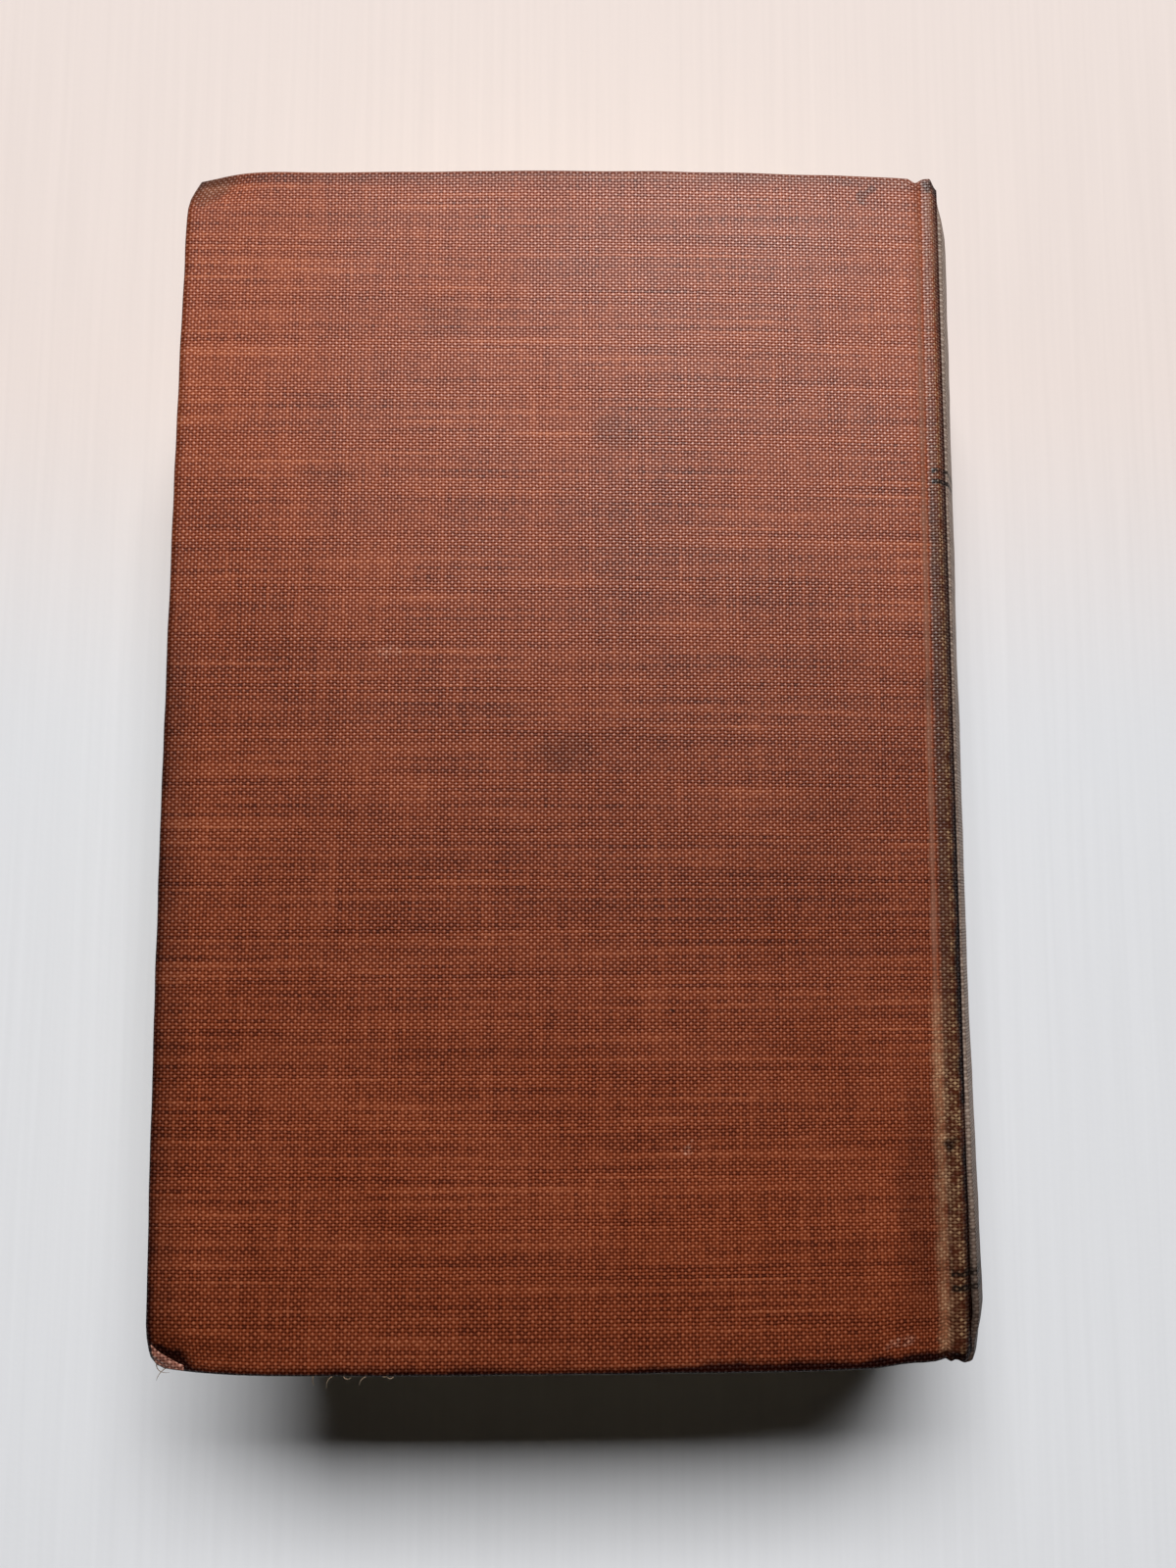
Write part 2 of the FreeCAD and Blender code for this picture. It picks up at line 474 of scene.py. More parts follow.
@dataclass(frozen=True)
class Outline:
    """The outline of a cover: straight sides and two rounded corners at the fore-edge."""

    fore_x: float
    half: float
    head_radius: float = 1.3 * MM
    foot_radius: float = 1.8 * MM

    def corner(self, x: float, y: float) -> Optional[Tuple[Vector, float]]:
        """Finds the rounded corner that a point belongs to.

        Args:
            x: The point's x.
            y: The point's y.

        Returns:
            The corner's centre and its sign along y, or None beside a straight side.
        """
        for radius, sign in ((self.head_radius, 1), (self.foot_radius, -1)):
            centre = Vector((self.fore_x + radius, sign * (self.half - radius)))
            if x < centre.x and sign * (y - centre.y) > 0:
                return centre, sign
        return None

    def round_off(self, point: Vector) -> Vector:
        """Draws the square corners of a grid in to the rounded outline."""
        found = self.corner(point.x, point.y)
        if found is None:
            return point.copy()
        centre, _ = found
        away = Vector((point.x - centre.x, point.y - centre.y))
        reach = max(abs(away.x), abs(away.y)) / max(away.length, 1e-9)
        return Vector((centre.x + away.x * reach, centre.y + away.y * reach, point.z))

    def outward(self, x: float, y: float) -> Vector:
        """The outline's normal beside a point near it."""
        found = self.corner(x, y)
        if found is not None:
            away = Vector((x - found[0].x, y - found[0].y))
            return away.normalized()
        sides = (
            (x - self.fore_x, Vector((-1, 0))),
            (self.half - y, Vector((0, 1))),
            (self.half + y, Vector((0, -1))),
        )
        return min(sides, key=lambda side: side[0])[1]


@dataclass(frozen=True)
class CoverForm:
    """The worn shape of one cover.

    A point of the unworn cover has its depth from the outer face as -z.
    """

    sizes: BookSizes
    body: Body
    corner_droop: float
    head_slack: float  # share of the crown that is lost towards the head of the fore-edge
    bow: float  # of the fore-edge, outwards
    foot_wear: float  # of the foot edge beside the spine, inwards
    dents: float
    foot_bulge: float = 0.0  # of the foot edge, outwards
    head_tip: float = 0.0  # how far the corner at the head still points out
    head_skew: float = 0.0  # of the head edge, outwards by the spine and inwards by the fore-edge
    joint_depth: float = 0.32 * MM
    ridge_fall: float = 1.25 * MM
    joint_skew: float = 0.55 * MM  # shift of the joint towards the spine at the head
    crease_x: float = 2.75 * MM  # from the joint to the crease beside the spine
    ragged: float = 0.12 * MM  # how far the worn edges wander
    notch: float = 0.7 * MM  # depth and half width of the notch at each end of the joint

    @property
    def raised(self) -> float:
        """The crown of this cover, which only the back one has."""
        return self.sizes.crown if self.body is Body.BACK else 0.0

    def joint_profile(self, x: float) -> float:
        """Height of the groove and ridge beside the board, counted from the outer face."""
        t = x - self.sizes.joint_x
        groove = self.joint_depth * math.exp(-(((t + 0.9 * MM) / (0.8 * MM)) ** 2))
        fall = self.ridge_fall * smooth(t, 0.9 * MM, self.crease_x + 0.4 * MM)
        return -groove - fall - 0.12 * MM * smooth(t, -1.2 * MM, 0)

    def sag(self, x: float, y: float) -> float:
        """How far the worn corners have bent towards the pages."""
        s = self.sizes
        spine_side = smooth(x, s.board_x - 22 * MM, s.board_x - 8 * MM)
        foot = smooth(-y, s.half_height - 9 * MM, s.half_height)
        return self.corner_droop * self.bent(x, y) + 0.3 * self.foot_wear * spine_side * foot

    def bent(self, x: float, y: float) -> float:
        """How much a point is part of a bent corner at the fore-edge, from 0 to 1."""
        s = self.sizes
        reach_x, reach_y = (17 * MM, 9 * MM) if y > 0 else (20 * MM, 8 * MM)
        away = math.hypot((x - s.fore_x) / reach_x, (s.half_height - abs(y)) / reach_y)
        return (1 - min(1.0, away)) ** 2

    def lie(self, x: float, y: float) -> float:
        """Height of the cover's face without its joint and dents, above the plane of its edge."""
        s = self.sizes
        half = (s.joint_x - s.fore_x) / 2
        across = min(1.0, abs(x - s.fore_x - half) / half)
        slack = self.head_slack * smooth(y, 10 * MM, s.half_height) * smooth(-x, -45 * MM, 30 * MM)
        return self.raised * (1 - across**2) * (1 - slack) - self.sag(x, y)

    def outer(self, x: float, y: float) -> float:
        """Height of the outer face above the unworn plane of the cover's edge."""
        dents = wobble(x, y, 31 * MM, 3.1) + 0.35 * wobble(x, y, 9 * MM, 8.7)
        return self.lie(x, y) + self.joint_profile(x) + self.dents * dents

    def settle(self, point: Vector) -> Vector:
        """Moves a point of the unworn cover to its place on the worn one."""
        s = self.sizes
        x, y, depth = point.x, point.y, -point.z
        near_joint = smooth(x, s.board_x - 7 * MM, s.board_x) * self.joint_skew
        near_joint *= (y / s.half_height) * (1 - smooth(x, s.joint_x, s.joint_x + 2 * MM))
        fore = 1 - smooth(x, s.fore_x, s.fore_x + 25 * MM)
        bow = self.bow * (1 - (y / s.half_height) ** 2) * fore
        edge_x = s.fore_x + 3 * MM
        ragged = self.ragged * wobble(y, depth, 7 * MM, 1.7) * (1 - smooth(x, s.fore_x, edge_x))
        foot = 1 - smooth(y, -s.half_height, -s.half_height + 14 * MM)
        worn = smooth(x, s.board_x - 13 * MM, s.board_x - 5 * MM)
        worn *= 1 - smooth(x, s.board_x, s.joint_x)
        ends = 1 - smooth(s.half_height - abs(y), 0, 3 * MM)
        shift_y = self.foot_wear * foot * worn + self.ragged * ends * wobble(x, y, 9 * MM, 5.3)
        notch_x = s.joint_x + (-1.9 if y > 0 else 0.35) * MM
        notch = math.exp(-(((x - notch_x) / self.notch) ** 2)) * ends * self.notch
        tip = self.corner_droop * self.bent(x, y)
        shift_y -= math.copysign(notch + 0.2 * tip, y)
        shift_y -= self.foot_bulge * foot * (1 - 0.5 * smooth(x, s.board_x - 3 * MM, s.joint_x))
        head = smooth(y, s.half_height - 14 * MM, s.half_height)
        skew = 2.1 * smooth(x, s.fore_x + 18 * MM, s.fore_x + 62 * MM) - 0.9
        shift_y += self.head_skew * head * skew
        corner = Vector((x - s.fore_x, s.half_height - y))
        point_out = self.head_tip * (1 - smooth(corner.length, 0.3 * MM, 2.6 * MM))
        shift_y -= math.copysign(self.ridge_round(x) * ends, y)
        across = x + near_joint - bow + ragged + (0.8 if y > 0 else 0.3) * tip - 0.4 * point_out
        return Vector((across, y + shift_y + 0.1 * point_out, self.level(x, y, depth)))

    def ridge_round(self, x: float) -> float:
        """How far the ends of the ridge are rounded off towards the crease."""
        past = smooth(x, self.sizes.joint_x + 0.3 * MM, self.sizes.joint_x + self.crease_x)
        return 1.3 * MM * past**2

    def level(self, x: float, y: float, depth: float) -> float:
        """Height of a point at a depth in the worn cover."""
        height = self.outer(x, y) - depth
        return self.sizes.thickness + height if self.body is Body.BACK else max(0.0, -height)

    def rest_on_pages(self, point: Vector) -> Vector:
        """Moves a point of a flat flyleaf to its place under the worn cover."""
        height = self.lie(point.x, point.y) + point.z
        z = self.sizes.thickness + height if self.body is Body.BACK else -height
        return Vector((point.x, point.y, z))


EDGE_ROUND = (
    (0.75, 0.04),
    (0.4, 0.15),
    (0.15, 0.38),
    (0.02, 0.75),
    (0.0, 1.25),
    (0.0, 2.15),
    (0.02, 2.65),
    (0.15, 3.02),
    (0.4, 3.25),
    (0.75, 3.36),
    (1.2, 3.4),
    (4.0, 3.4),
)


@dataclass(frozen=True)
class Ring:
    """One ring of faces on the way round a rounded edge."""

    inset: float  # from the outline to where the ring starts
    step: float  # how far it reaches outwards
    depth: float  # of its far side under the face
    run: float  # of the cloth, from the flat grid to its far side


def rings(profile: Sequence[Point], start: float) -> Iterator[Ring]:
    """Follows a rounded edge from the flat grid, ring by ring.

    Args:
        profile: Distance from the outline and depth of each ring's far side, in millimetres.
        start: From the outline to the flat grid.

    Yields:
        The rings, from the grid on.
    """
    inset, depth, run = start, 0.0, 0.0
    for next_inset, next_depth in profile:
        step = inset - next_inset * MM
        run += math.hypot(step, next_depth * MM - depth)
        yield Ring(inset, step, next_depth * MM, run)
        inset, depth = next_inset * MM, next_depth * MM


@dataclass(frozen=True)
class CoverCloth:
    """The cloth over one cover: outer face, rounded edges, turn-ins, groove and ridge."""

    sizes: BookSizes
    form: CoverForm
    name: str
    columns: int = 66
    rows: int = 100
    start: float = 1.2 * MM  # from the outline to the flat grid
    wall: float = 0.34 * MM
    groove_cuts: Tuple[float, ...] = (-1.9, -1.5, -1.2, -0.95, -0.7, -0.45, -0.2)  # from the joint
    ridge_cuts: Tuple[float, ...] = (0.2, 0.6, 1.0, 1.4, 1.8, 2.2, 2.6, 3.0)

    def build(self) -> bpy.types.Object:
        """Models the cloth as one sheet that is folded round the board.

        Returns:
            The cloth, with a map of its flat cut.
        """
        s = self.sizes
        outline = Outline(s.fore_x, s.half_height)
        inner = Outline(
            s.fore_x + self.start,
            s.half_height - self.start,
            outline.head_radius - self.start,
            outline.foot_radius - self.start,
        )
        crease = s.joint_x + self.form.crease_x
        bench = Workbench(self.name)
        bench.grid((inner.fore_x, -inner.half), (crease, inner.half), self.columns, self.rows)
        bench.slice([s.joint_x + cut * MM for cut in self.groove_cuts + self.ridge_cuts], (1, 0, 0))
        bench.slice([side * (inner.half - 0.9 * MM) for side in (-1, 1)], (0, 1, 0))
        bench.slice([-inner.fore_x - 0.8 * MM], (-1, 0, 0))
        bench.shape(inner.round_off)
        flat = {v.index: (v.co.x, v.co.y) for v in bench.piece.data.vertices}
        self.fold_edges(bench, outline, flat)
        bench.flatten_map(flat)
        bench.shape(self.form.settle)
        bench.clean(flip=self.form.body is Body.FRONT)
        bench.modify("SOLIDIFY", thickness=self.wall, offset=-1)
        bench.soften(50)
        return bench.piece

    def fold_edges(self, bench: Workbench, outline: Outline, flat: Dict[int, Point]) -> None:
        """Folds the cloth round the board's edges and in under it, ring by ring.

        Args:
            bench: The piece in work.
            outline: The cover's outline.
            flat: Places on the flat cloth, which gain those of the new rings.
        """
        s = self.sizes
        open_x = s.joint_x + self.form.crease_x - 0.01 * MM
        bench.edit()
        bench.select_border(lambda p: p.x < open_x or abs(p.y) > s.half_height - 1.3 * MM)
        for ring in rings(EDGE_ROUND, self.start):

            def place(index: int, old: Vector) -> Vector:
                """Puts a new vertex one ring further round the edge."""
                side = outline.outward(old.x, old.y)
                thin = 1 - 0.72 * smooth(old.x, s.board_x, s.board_x + 0.9 * MM)
                past_grid = self.start - ring.inset
                base_x, base_y = old.x - side.x * past_grid, old.y - side.y * past_grid
                flat[index] = (base_x + side.x * ring.run, base_y + side.y * ring.run)
                out_x, out_y = side.x * ring.step, side.y * ring.step
                return Vector((old.x + out_x, old.y + out_y, -ring.depth * thin))

            bench.extrude_selected(place)
        bench.leave()


@dataclass(frozen=True)
class CoverBoard:
    """The greyboard inside a cover, bent as the cover is."""

    sizes: BookSizes
    form: CoverForm
    name: str
    gap: float = 0.02 * MM  # between the board and the cloth

    def build(self) -> bpy.types.Object:
        """Models the board.

        Returns:
            The board.
        """
        s = self.sizes
        edge = s.cloth + self.gap
        outline = Outline(s.fore_x + edge, s.half_height - edge, 1.8 * MM, 1.4 * MM)
        bench = Workbench(self.name)
        low = (outline.fore_x, -outline.half, -s.board_inner + self.gap)
        bench.block(low, (s.board_x - self.gap, outline.half, -edge))
        bench.slice([s.fore_x + i * 2.5 * MM for i in range(1, 50)], (1, 0, 0))
        bench.slice([i * 3 * MM for i in range(-32, 33)], (0, 1, 0))
        bench.shape(outline.round_off)
        bench.shape(self.form.settle)
        if self.form.body is Body.FRONT:
            bench.recalculate()
        bench.modify("BEVEL", width=0.25 * MM, segments=2, angle_limit=math.radians(50))
        bench.soften(40)
        return bench.piece


@dataclass(frozen=True)
class Leaf:
    """One leaf of an endpaper: a pastedown on a board, or a flyleaf on the pages."""

    sizes: BookSizes
    form: CoverForm
    name: str
    depth: float  # of its outer face in the cover
    spine_x: float
    glued: bool  # a pastedown follows the steps of what it covers
    paper: float = 0.15 * MM
    turn_in: float = 15 * MM
    step: float = 0.25 * MM  # half the width of the slope at a turn-in's edge
    columns: int = 52
    rows: int = 80

    def build(self) -> bpy.types.Object:
        """Models the leaf as a thin sheet, with the turn-ins showing through a pastedown.

        Returns:
            The leaf.
        """
        s = self.sizes
        bench = Workbench(self.name)
        low, high = (s.pages_x, -s.half_pages), (self.spine_x, s.half_pages)
        bench.grid(low, high, self.columns, self.rows)
        if self.glued:
            reach = s.half_height - self.turn_in
            for step in (-self.step, self.step):
                bench.slice([s.fore_x + self.turn_in + step], (1, 0, 0))
                bench.slice([reach + step, -reach - step], (0, 1, 0))
        bench.shape(self.lay)
        bench.shape(self.form.settle if self.glued else self.form.rest_on_pages)
        bench.clean(flip=self.form.body is Body.FRONT)
        bench.modify("SOLIDIFY", thickness=self.paper, offset=-1)
        bench.soften(40)
        return bench.piece

    def lay(self, point: Vector) -> Vector:
        """Gives a point of the flat leaf its depth in the cover."""
        s = self.sizes
        depth = self.depth
        if self.glued:
            reach = s.half_height - self.turn_in
            edge_x = s.fore_x + self.turn_in
            inside_x = smooth(point.x, edge_x - self.step, edge_x + self.step)
            inside_y = 1 - smooth(abs(point.y), reach - self.step, reach + self.step)
            depth -= (s.cover_inner - s.board_inner) * inside_x * inside_y
        return Vector((point.x, point.y, -depth))


CAP_ROUND = (
    (0.5, 0.03),
    (0.2, 0.14),
    (0.05, 0.35),
    (0.0, 0.6),
    (0.05, 0.85),
    (0.2, 1.06),
    (0.5, 1.17),
    (0.9, 1.2),
    (9.0, 1.2),
)


@dataclass(frozen=True)
class SpineCloth:
    """The cloth over the rounded spine, rolled over the liner at head and foot."""

    sizes: BookSizes
    name: str
    ridge_width: float = 2.4 * MM
    ridge_drop: float = 0.3 * MM
    start: float = 0.8 * MM  # from the ends to the plain grid
    wall: float = 0.34 * MM
    trim: float = 1.05 * MM  # from the ends of the arch to the creases
    sink: float = 0.28 * MM  # of the middle of the spine's length
    flare: float = 0.6 * MM  # of the foot end
    pull: float = 1.1 * MM  # of both ends, inwards
    dip: float = 0.6 * MM  # into the crease beside each ridge
    dip_run: float = 0.7 * MM
    cap_rise: float = 0.2 * MM
    columns: int = 44
    rows: int = 96

    @property
    def height(self) -> float:
        """Half the spine's height between its ridges."""
        return self.sizes.thickness / 2 - self.ridge_drop

    @property
    def radius(self) -> float:
        """Radius of the spine's arch."""
        rise = self.sizes.apex_x - self.sizes.joint_x - self.ridge_width
        return (self.height**2 + rise**2) / (2 * rise)

    @property
    def reach(self) -> float:
        """Half the length of the arch between the creases."""
        return self.radius * math.asin(self.height / self.radius) - self.trim

    def wrap(self, point: Vector) -> Vector:
        """Bends a point of the flat cloth round the arch, with its wear."""
        s = self.sizes
        u, y, depth = point.x, point.y, -point.z
        along = y / s.half_height
        depth += self.sink * (1 - along**2) - self.flare * smooth(-y, 35 * MM, s.half_height)
        depth += self.dip * (1 - smooth(self.reach - abs(u), 0, self.dip_run))
        depth += self.pull * (1 - smooth(s.half_height - abs(y), 0, 8 * MM))
        crush = 0.1 * MM + 0.22 * MM * smooth(-y, s.half_height - 16 * MM, s.half_height)
        depth += crush * wobble(u, y, 8 * MM, 12.6) + 0.05 * MM * wobble(u, y, 3 * MM, 2.2)
        ends = 1 - smooth(s.half_height - abs(y), 0, 2.5 * MM)
        shoulder = math.exp(-(((self.reach - abs(u) - 1.3 * MM) / (1.3 * MM)) ** 2))
        fallen = 2.5 if y < 0 else 1.0
        rise = ends * (self.cap_rise * (shoulder - fallen) + 0.25 * MM * wobble(u, 0, 6 * MM, 4.4))
        angle = u / self.radius
        r = self.radius - depth
        centre_x = s.apex_x - self.radius
        return Vector(
            (
                centre_x + r * math.cos(angle),
                y + math.copysign(rise, y),
                s.thickness / 2 + r * math.sin(angle),
            )
        )

    def build(self) -> bpy.types.Object:
        """Models the spine's cloth as a flat sheet, rolled in at its ends and bent to the arch.

        Returns:
            The cloth, with a map of its flat cut.
        """
        s = self.sizes
        half = s.half_height - self.start
        bench = Workbench(self.name)
        bench.grid((-self.reach, -half), (self.reach, half), self.columns, self.rows)
        near_crease = (0.2, 0.4, 0.6, 0.9, 1.3)
        cuts = [side * (self.reach - cut * MM) for side in (-1, 1) for cut in near_crease]
        bench.slice(cuts, (1, 0, 0))
        vertices = bench.piece.data.vertices
        flat = {v.index: (s.joint_x + self.reach - v.co.x, v.co.y) for v in vertices}
        bench.edit()
        bench.select_border(lambda p: abs(p.y) > half - 0.01 * MM)
        for ring in rings(CAP_ROUND, self.start):

            def place(index: int, old: Vector) -> Vector:
                """Puts a new vertex one ring further over the liner's end."""
                side = math.copysign(1, old.y)
                flat[index] = (s.joint_x + self.reach - old.x, side * (half + ring.run))
                return Vector((old.x, old.y + side * ring.step, -ring.depth))

            bench.extrude_selected(place)
        bench.leave()
        bench.flatten_map(flat)
        bench.shape(self.wrap)
        bench.clean()
        bench.modify("SOLIDIFY", thickness=self.wall, offset=-1)
        bench.soften(50)
        return bench.piece


@dataclass(frozen=True)
class SpineLiner:
    """The card liner inside the spine, bent as its cloth is."""

    sizes: BookSizes
    name: str
    card: float = 0.4 * MM
    gap: float = 0.04 * MM  # between the liner and the cloth
    margin: float = 1.2 * MM  # from the creases
    half_length: float = 97.6 * MM

    def build(self) -> bpy.types.Object:
        """Models the liner as a sheet under the spine's cloth.

        Returns:
            The liner.
        """
        cloth = SpineCloth(self.sizes, "")
        reach = cloth.reach - self.margin
        under = cloth.wall + self.gap
        bench = Workbench(self.name)
        bench.grid((-reach, -self.half_length), (reach, self.half_length), 28, 64)
        bench.shape(lambda p: cloth.wrap(Vector((p.x, p.y, -under))))
        bench.modify("SOLIDIFY", thickness=self.card, offset=-1)
        bench.soften(40)
        return bench.piece


LEAF_ATTRIBUTE = "leaf_mm"


@dataclass(frozen=True)
class TextBlock:
    """The sewn pages, modelled section by section."""

    sizes: BookSizes
    back_form: CoverForm
    front_form: CoverForm
    name: str
    sections: int = 38
    hollow: float = 5.5 * MM  # of the fore-edge
    back_radius: float = 42.3 * MM
    shoulder_setback: float = 0.4 * MM
    shoulder_height: float = 21.4 * MM
    front_depth: float = 3.7 * MM  # from the front cover's outer face to the pages
    back_depth: float = 4.0 * MM
    gap: float = 0.04  # share of a section's thickness between sections
    unevenness: float = 0.14 * MM
    across: Tuple[float, ...] = (0.02, 0.08, 0.2, 0.4, 0.6, 0.8, 0.9, 0.94, 0.97, 0.985, 0.993)

    def back_x(self, height: float) -> float:
        """Where the back of the pages lies at a height above the middle."""
        spine = SpineCloth(self.sizes, "")
        centre = self.sizes.apex_x - spine.radius
        return centre + math.sqrt(self.back_radius**2 - height**2)

    def leaf_z(self, x: float, y: float, share: float, back: float) -> float:
        """Height of a leaf.

        Args:
            x: Place across the book.
            y: Place along the spine.
            share: The leaf's share of the way from the front cover to the back one.
            back: Where this leaf ends at the back.

        Returns:
            The leaf's height.
        """
        s = self.sizes
        top = s.thickness + self.back_form.lie(x, y) + self.back_form.sag(x, y) - self.back_depth
        z = self.front_depth + (top - self.front_depth) * share
        z += self.front_form.sag(x, y) * (1 - share) ** 5 - self.back_form.sag(x, y) * share**5
        level = 2 * share - 1
        spread = s.thickness / 2 + level * self.shoulder_height
        shoulder = s.joint_x + self.shoulder_setback
        start = back - 7 * MM + (shoulder - back + 7 * MM) * level**4
        return z + (spread - z) * smooth(x, start, back)

    def build(self) -> bpy.types.Object:
        """Models one section, then copies it and lays each copy in its place.

        Returns:
            The pages, with the place of each leaf in an attribute.
        """
        s = self.sizes
        bench = Workbench(self.name)
        bench.block((0, -s.half_pages, 0), (1, s.half_pages, 1))
        bench.slice(self.across, (1, 0, 0))
        bench.slice((0.15, 0.5, 0.85), (0, 0, 1))
        cuts = [i * s.half_pages / 6 for i in range(-5, 6)]
        cuts += [-0.97 * s.half_pages, 0.97 * s.half_pages]
        bench.slice(cuts, (0, 1, 0))
        first = bench.piece
        draws = random.Random(11)
        parts = []
        for number in range(self.sections):
            part = first.copy()
            part.data = first.data.copy()
            bpy.context.collection.objects.link(part)
            offsets = [draws.uniform(-1, 1) * self.unevenness for _ in range(3)]
            self.lay_section(part, number, offsets)
            parts.append(part)
        bpy.data.objects.remove(first)
        bench.piece = bench.join(self.name, parts)
        bench.soften(35)
        return bench.piece

    def lay_section(self, part: bpy.types.Object, number: int, offsets: Sequence[float]) -> None:
        """Shapes one copied section.

        Args:
            part: The copy, one metre wide and thick.
            number: Its place, counted from the front.
            offsets: How far it stands out at fore-edge, head and foot.
        """
        s = self.sizes
        leaves = part.data.attributes.new(LEAF_ATTRIBUTE, "FLOAT", "POINT")
        for vertex in part.data.vertices:
            across, y, inner = vertex.co
            share = (number + self.gap / 2 + inner * (1 - self.gap)) / self.sections
            round_in = 0.16 * MM * (2 * inner - 1) ** 6
            level = 2 * share - 1
            fore = s.pages_x + self.hollow * (1 - level**2) + offsets[0] + round_in
            back = self.back_x(level * self.shoulder_height) - 0.1 * MM
            x = fore + (back - fore) * across
            ends = max(0.0, abs(y) / s.half_pages - 0.96) / 0.04
            stand = offsets[1 if y > 0 else 2] * 0.7 - round_in * 0.6
            y += math.copysign(ends * stand, y)
            leaves.data[vertex.index].value = share * s.thickness / MM
            vertex.co = Vector((x, y, self.leaf_z(x, y, share, back)))
        part.data.update()


@dataclass(frozen=True)
class EndpaperJoint:
    """The strip of endpaper that turns from a pastedown to its flyleaf inside the joint."""

    sizes: BookSizes
    form: CoverForm
    name: str
    paper: float = 0.15 * MM
    route: Tuple[Tuple[float, float], ...] = (
        (-1.7, 3.42),
        (-1.2, 3.38),
        (-0.92, 3.0),
        (-0.86, 2.2),
        (-0.8, 1.5),
        (-0.5, 1.25),
        (-0.1, 1.22),
        (0.2, 1.5),
        (0.26, 2.4),
        (0.28, 3.3),
        (0.3, 3.95),
    )  # each from the joint towards the spine, and inwards, in millimetres

    def build(self) -> bpy.types.Object:
        """Models the strip along its route through the joint.

        Returns:
            The strip.
        """
        s = self.sizes
        last = len(self.route) - 1
        bench = Workbench(self.name)
        bench.grid((0, -s.half_pages), (last, s.half_pages), last, 48)
        bench.shape(self.follow)
        if self.form.body is Body.BACK:
            bench.shape(lambda p: Vector((p.x, p.y, s.thickness + p.z)))
        else:
            bench.shape(lambda p: Vector((p.x, p.y, -p.z)))
        bench.clean(flip=self.form.body is Body.FRONT)
        bench.modify("SOLIDIFY", thickness=self.paper, offset=0)
        bench.modify("SUBSURF", levels=1, render_levels=1)
        bench.soften(60)
        return bench.piece

    def follow(self, point: Vector) -> Vector:
        """Puts a point of the flat strip on the route."""
        step = self.route[round(point.x)]
        return Vector((self.sizes.joint_x + step[0] * MM, point.y, -step[1] * MM))


@dataclass(frozen=True)
class Fray:
    """Threads that have worked loose at the foot edge and the worn corner of a cover."""

    sizes: BookSizes
    form: CoverForm
    name: str
    radius: float = 0.08 * MM
    starts: Tuple[Tuple[float, float, float, float], ...] = (
        (-41.5, -98.2, 1.6, 250),
        (-38.6, -98.4, 2.0, 200),
        (-36.9, -98.4, 1.4, 300),
        (-35.2, -98.3, 2.6, 345),
        (-33.4, -98.4, 1.8, 190),
        (-31.0, -98.3, 2.2, 330),
        (-29.2, -98.4, 1.5, 240),
        (-26.9, -98.3, 2.4, 10),
        (-66.6, -97.0, 2.6, 230),
        (-64.9, -97.9, 3.0, 200),
        (-62.6, -98.3, 2.8, 350),
    )  # x, y and length in millimetres, and the way it points in degrees

    def build(self) -> bpy.types.Object:
        """Models each thread as a thin rod bent along its own curl.

        Returns:
            The loose threads as one piece.
        """
        draws = random.Random(5)
        threads = []
        for x, y, length, turn in self.starts:
            bench = Workbench(self.name)
            bench.rod(self.radius, 1.0, 6)
            bench.slice([i / 12 for i in range(1, 12)], (0, 0, 1))
            start = self.form.settle(Vector((x * MM, y * MM, -0.5 * MM)))
            curl = draws.uniform(-1.6, 1.6)
            bench.shape(lambda p: self.curl(p, start, length * MM, math.radians(turn), curl))
            bench.recalculate()
            bench.soften(60)
            threads.append(bench.piece)
        return Workbench.join(self.name, threads)

    def curl(self, point: Vector, start: Vector, length: float, turn: float, curl: float) -> Vector:
        """Bends a point of a straight unit rod along a thread's curl.

        Args:
            point: The point of the rod, whose length runs along z.
            start: Where the thread leaves the cloth.
            length: The thread's length.
            turn: The way it starts in.
            curl: How far its way turns, in radians.

        Returns:
            The point on the curled thread.
        """
        share = point.z
        angle = turn + curl * share
        way = Vector((math.cos(angle), math.sin(angle), 0))
        side = Vector((-way.y, way.x, 0))
        middle = start + way * length * share
        middle.z += 0.25 * MM * math.sin(math.pi * share) - 0.3 * MM * share
        slim = 1 - 0.6 * share**3
        return middle + side * point.x * slim + Vector((0, 0, point.y * slim))


@dataclass(frozen=True)
class WornCorner:
    """The flap of cloth that has come up and folded over at the foot of the fore-edge."""

    sizes: BookSizes
    form: CoverForm
    name: str
    size: float = 4.8 * MM
    wall: float = 0.3 * MM

    def build(self) -> bpy.types.Object:
        """Models the folded flap.

        Returns:
            The flap.
        """
        bench = Workbench(self.name)
        bench.grid((0, 0), (1, 1), 14, 12)
        bench.shape(self.lay)
        flat = {v.index: (v.co.x, v.co.y) for v in bench.piece.data.vertices}
        bench.flatten_map(flat)
        bench.clean()
        bench.modify("SOLIDIFY", thickness=self.wall, offset=1)
        bench.modify("SUBSURF", levels=1, render_levels=1)
        bench.soften(60)
        return bench.piece

    def lay(self, point: Vector) -> Vector:
        """Puts a point of a unit square on the triangular flap."""
        s = self.sizes
        along, across = point.x, point.y
        x = s.fore_x + 0.9 * MM + along * self.size
        y = -s.half_height + 0.5 * MM + across * self.size * 0.66 * (1 - 0.8 * along)
        y += 0.25 * MM * wobble(along, across, 0.35, 2.6) + 0.9 * MM * (1 - along) ** 4
        lift = 0.12 * MM + 0.3 * MM * math.exp(-(((across - 0.62) / 0.16) ** 2)) * (1 - along)
        spot = self.form.settle(Vector((x, y, 0)))
        return spot + Vector((0, 0, lift + 0.1 * MM * wobble(along, across, 0.3, 7.9)))


